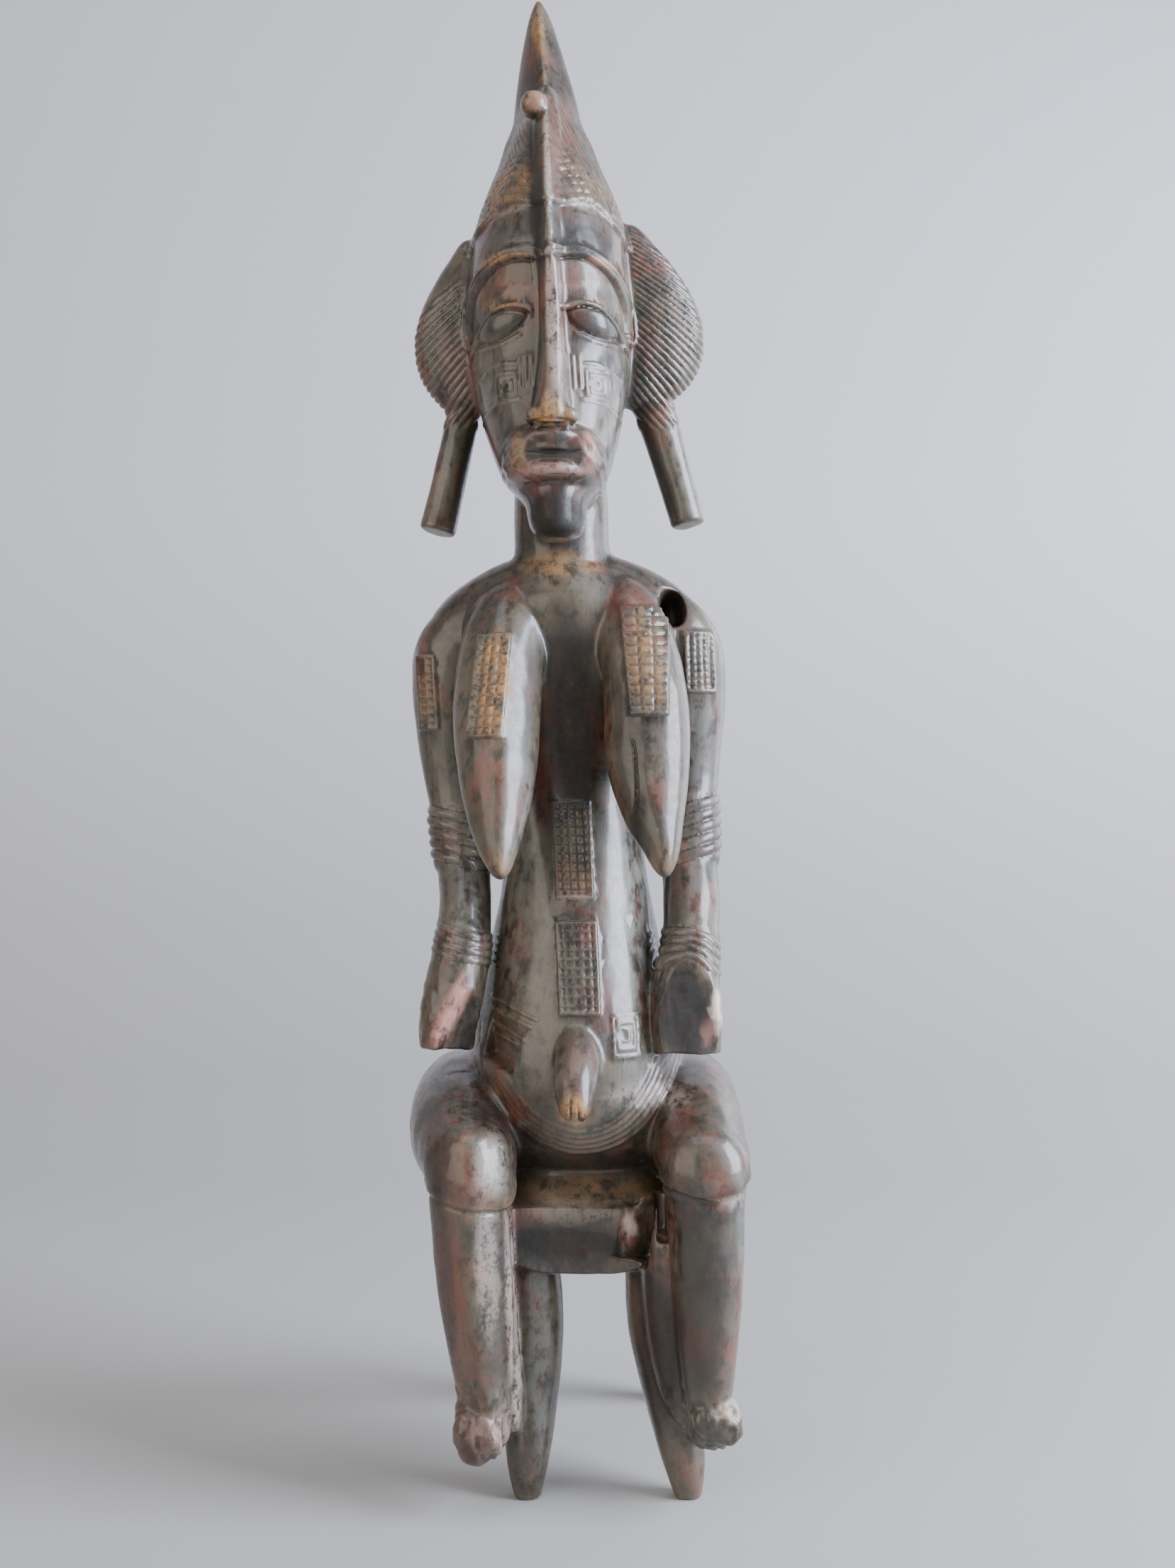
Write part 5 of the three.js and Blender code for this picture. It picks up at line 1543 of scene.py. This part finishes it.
@dataclass
class Studio:
    """Pale grey sweep, a tall window light from the right and above, fill lights and the camera."""

    camera_place: tuple[float, float, float] = (0.00366, -0.71803, 0.2776)
    lens: float = 40.0
    sensor: float = 36.0
    # painted shade: the floor part of the one backdrop paper is painted darker
    floor: str = "#a8a6a3"
    # painted light: the wall part of the same paper is painted lighter
    wall: str = "#c8c7ca"

    def camera(self) -> None:
        """Set up the camera, level, looking along +Y."""
        data = bpy.data.cameras.new("camera")
        data.sensor_fit = "VERTICAL"
        data.sensor_height = self.sensor
        data.sensor_width = self.sensor
        data.lens = self.lens
        camera = bpy.data.objects.new("camera", data)
        camera.location = self.camera_place
        camera.rotation_euler = (math.pi / 2, 0, 0)
        bpy.context.scene.collection.objects.link(camera)
        bpy.context.scene.camera = camera

    def light(
        self, name: str, place: tuple[float, ...], size: tuple[float, float], power: float, hue: str,
    ) -> None:
        """Add a soft rectangular light that faces the figure."""
        data = bpy.data.lights.new(name, "AREA")
        data.shape = "RECTANGLE"
        data.size, data.size_y = size
        data.energy = power
        data.color = linear(hue)[:3]
        lamp = bpy.data.objects.new(name, data)
        lamp.location = place
        aim = np.array((0, 0, 0.32)) - np.array(place)
        flat = math.hypot(aim[0], aim[1])
        lamp.rotation_euler = (math.atan2(flat, -aim[2]), 0, math.atan2(aim[1], aim[0]) - math.pi / 2)
        bpy.context.scene.collection.objects.link(lamp)

    def sweep(self) -> bpy.types.Object:
        """Make the backdrop: a floor that bends up into a wall behind the figure."""
        bend = [(-1.6, 0), (0.5, 0), (0.75, 0.03), (0.92, 0.14), (1.0, 0.35), (1.02, 2.2)]
        across = (-2.5, 2.5)
        points = [(x, y, z) for y, z in bend for x in across]
        faces = [(2 * i, 2 * i + 1, 2 * i + 3, 2 * i + 2) for i in range(len(bend) - 1)]
        mesh = bpy.data.meshes.new("sweep")
        mesh.from_pydata(points, [], faces)
        mesh.shade_smooth()
        sweep = bpy.data.objects.new("backdrop", mesh)
        bpy.context.scene.collection.objects.link(sweep)
        # Backdrop paper: quite matt, so that the eye gets a plain grey with soft shadows. It is one paper,
        # painted darker on the floor and lighter up the wall as painted shade and light.
        g = Grain("matt grey backdrop paper")
        height = g.add("ShaderNodeSeparateXYZ", {"Vector": g.add("ShaderNodeTexCoord").outputs["Object"]})
        share = g.ramp(height.outputs["Z"], 0.0, 0.6)
        colour = g.mix(share, linear(self.floor), linear(self.wall))
        surface = g.add("ShaderNodeBsdfPrincipled", {"Base Color": colour, "Roughness": 0.9})
        g.add("ShaderNodeOutputMaterial", {"Surface": surface.outputs["BSDF"]})
        mesh.materials.append(g.material)
        return sweep

    def build(self) -> None:
        """Set up everything round the figure."""
        self.camera()
        self.light("window", (1.2, -0.42, 0.72), (0.8, 1.2), 70, "#e4edff")
        self.light("far window", (1.0, 0.72, 0.5), (0.8, 1.1), 9, "#e4edff")
        self.light("room", (-1.2, -1.2, 0.7), (1.7, 1.6), 20, "#fff2e4")
        self.light("ceiling", (0.0, -0.5, 1.8), (1.4, 1.2), 10, "#f4f6ff")
        world = bpy.data.worlds.new("room")
        world.use_nodes = True
        background = world.node_tree.nodes["Background"]
        background.inputs["Color"].default_value = linear("#cfd1d6")
        background.inputs["Strength"].default_value = 0.42
        bpy.context.scene.world = world
        self.sweep()


class Figure:
    """The carving as one piece of the library."""

    def __init__(self) -> None:
        """Carve, place and paint the one piece."""
        carver = Carver()
        torso, head, seat = Torso(), Head(), Seat()
        sides = [shell for flank in (LEFT, RIGHT) for shell in flank.shells()]
        masses = [*torso.shells(), *head.shells(), *sides, *seat.shells()]
        mesh = carver.carve(masses, Losses().cutters(), Relief(head))
        mesh.name = PIECE
        skin = carver.surface_of(mesh)
        toward = carver.neighbour_means(mesh, skin.points) - skin.points
        hollow = np.einsum("ij,ij->i", toward, skin.normals)
        for name, values in Wear().layers(skin, hollow).items():
            layer = mesh.attributes.new(name, "FLOAT", "POINT")
            layer.data.foreach_set("value", values.astype(np.float32))
        mesh = carver.placed(mesh)
        mesh.shade_smooth()
        mesh.materials.clear()
        mesh.materials.append(Patina().material())
        self.piece = bpy.data.objects.new(PIECE, mesh)
        bpy.context.scene.collection.objects.link(self.piece)

    def declare(self) -> None:
        """Tell the frame which node the piece stands for and its body."""
        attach(self.piece, BODY)
        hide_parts(NODE)


def main() -> None:
    """Build the figure and its studio."""
    logging.basicConfig(level=logging.INFO)
    Figure().declare()
    Studio().build()


if __name__ == "__main__":
    main()
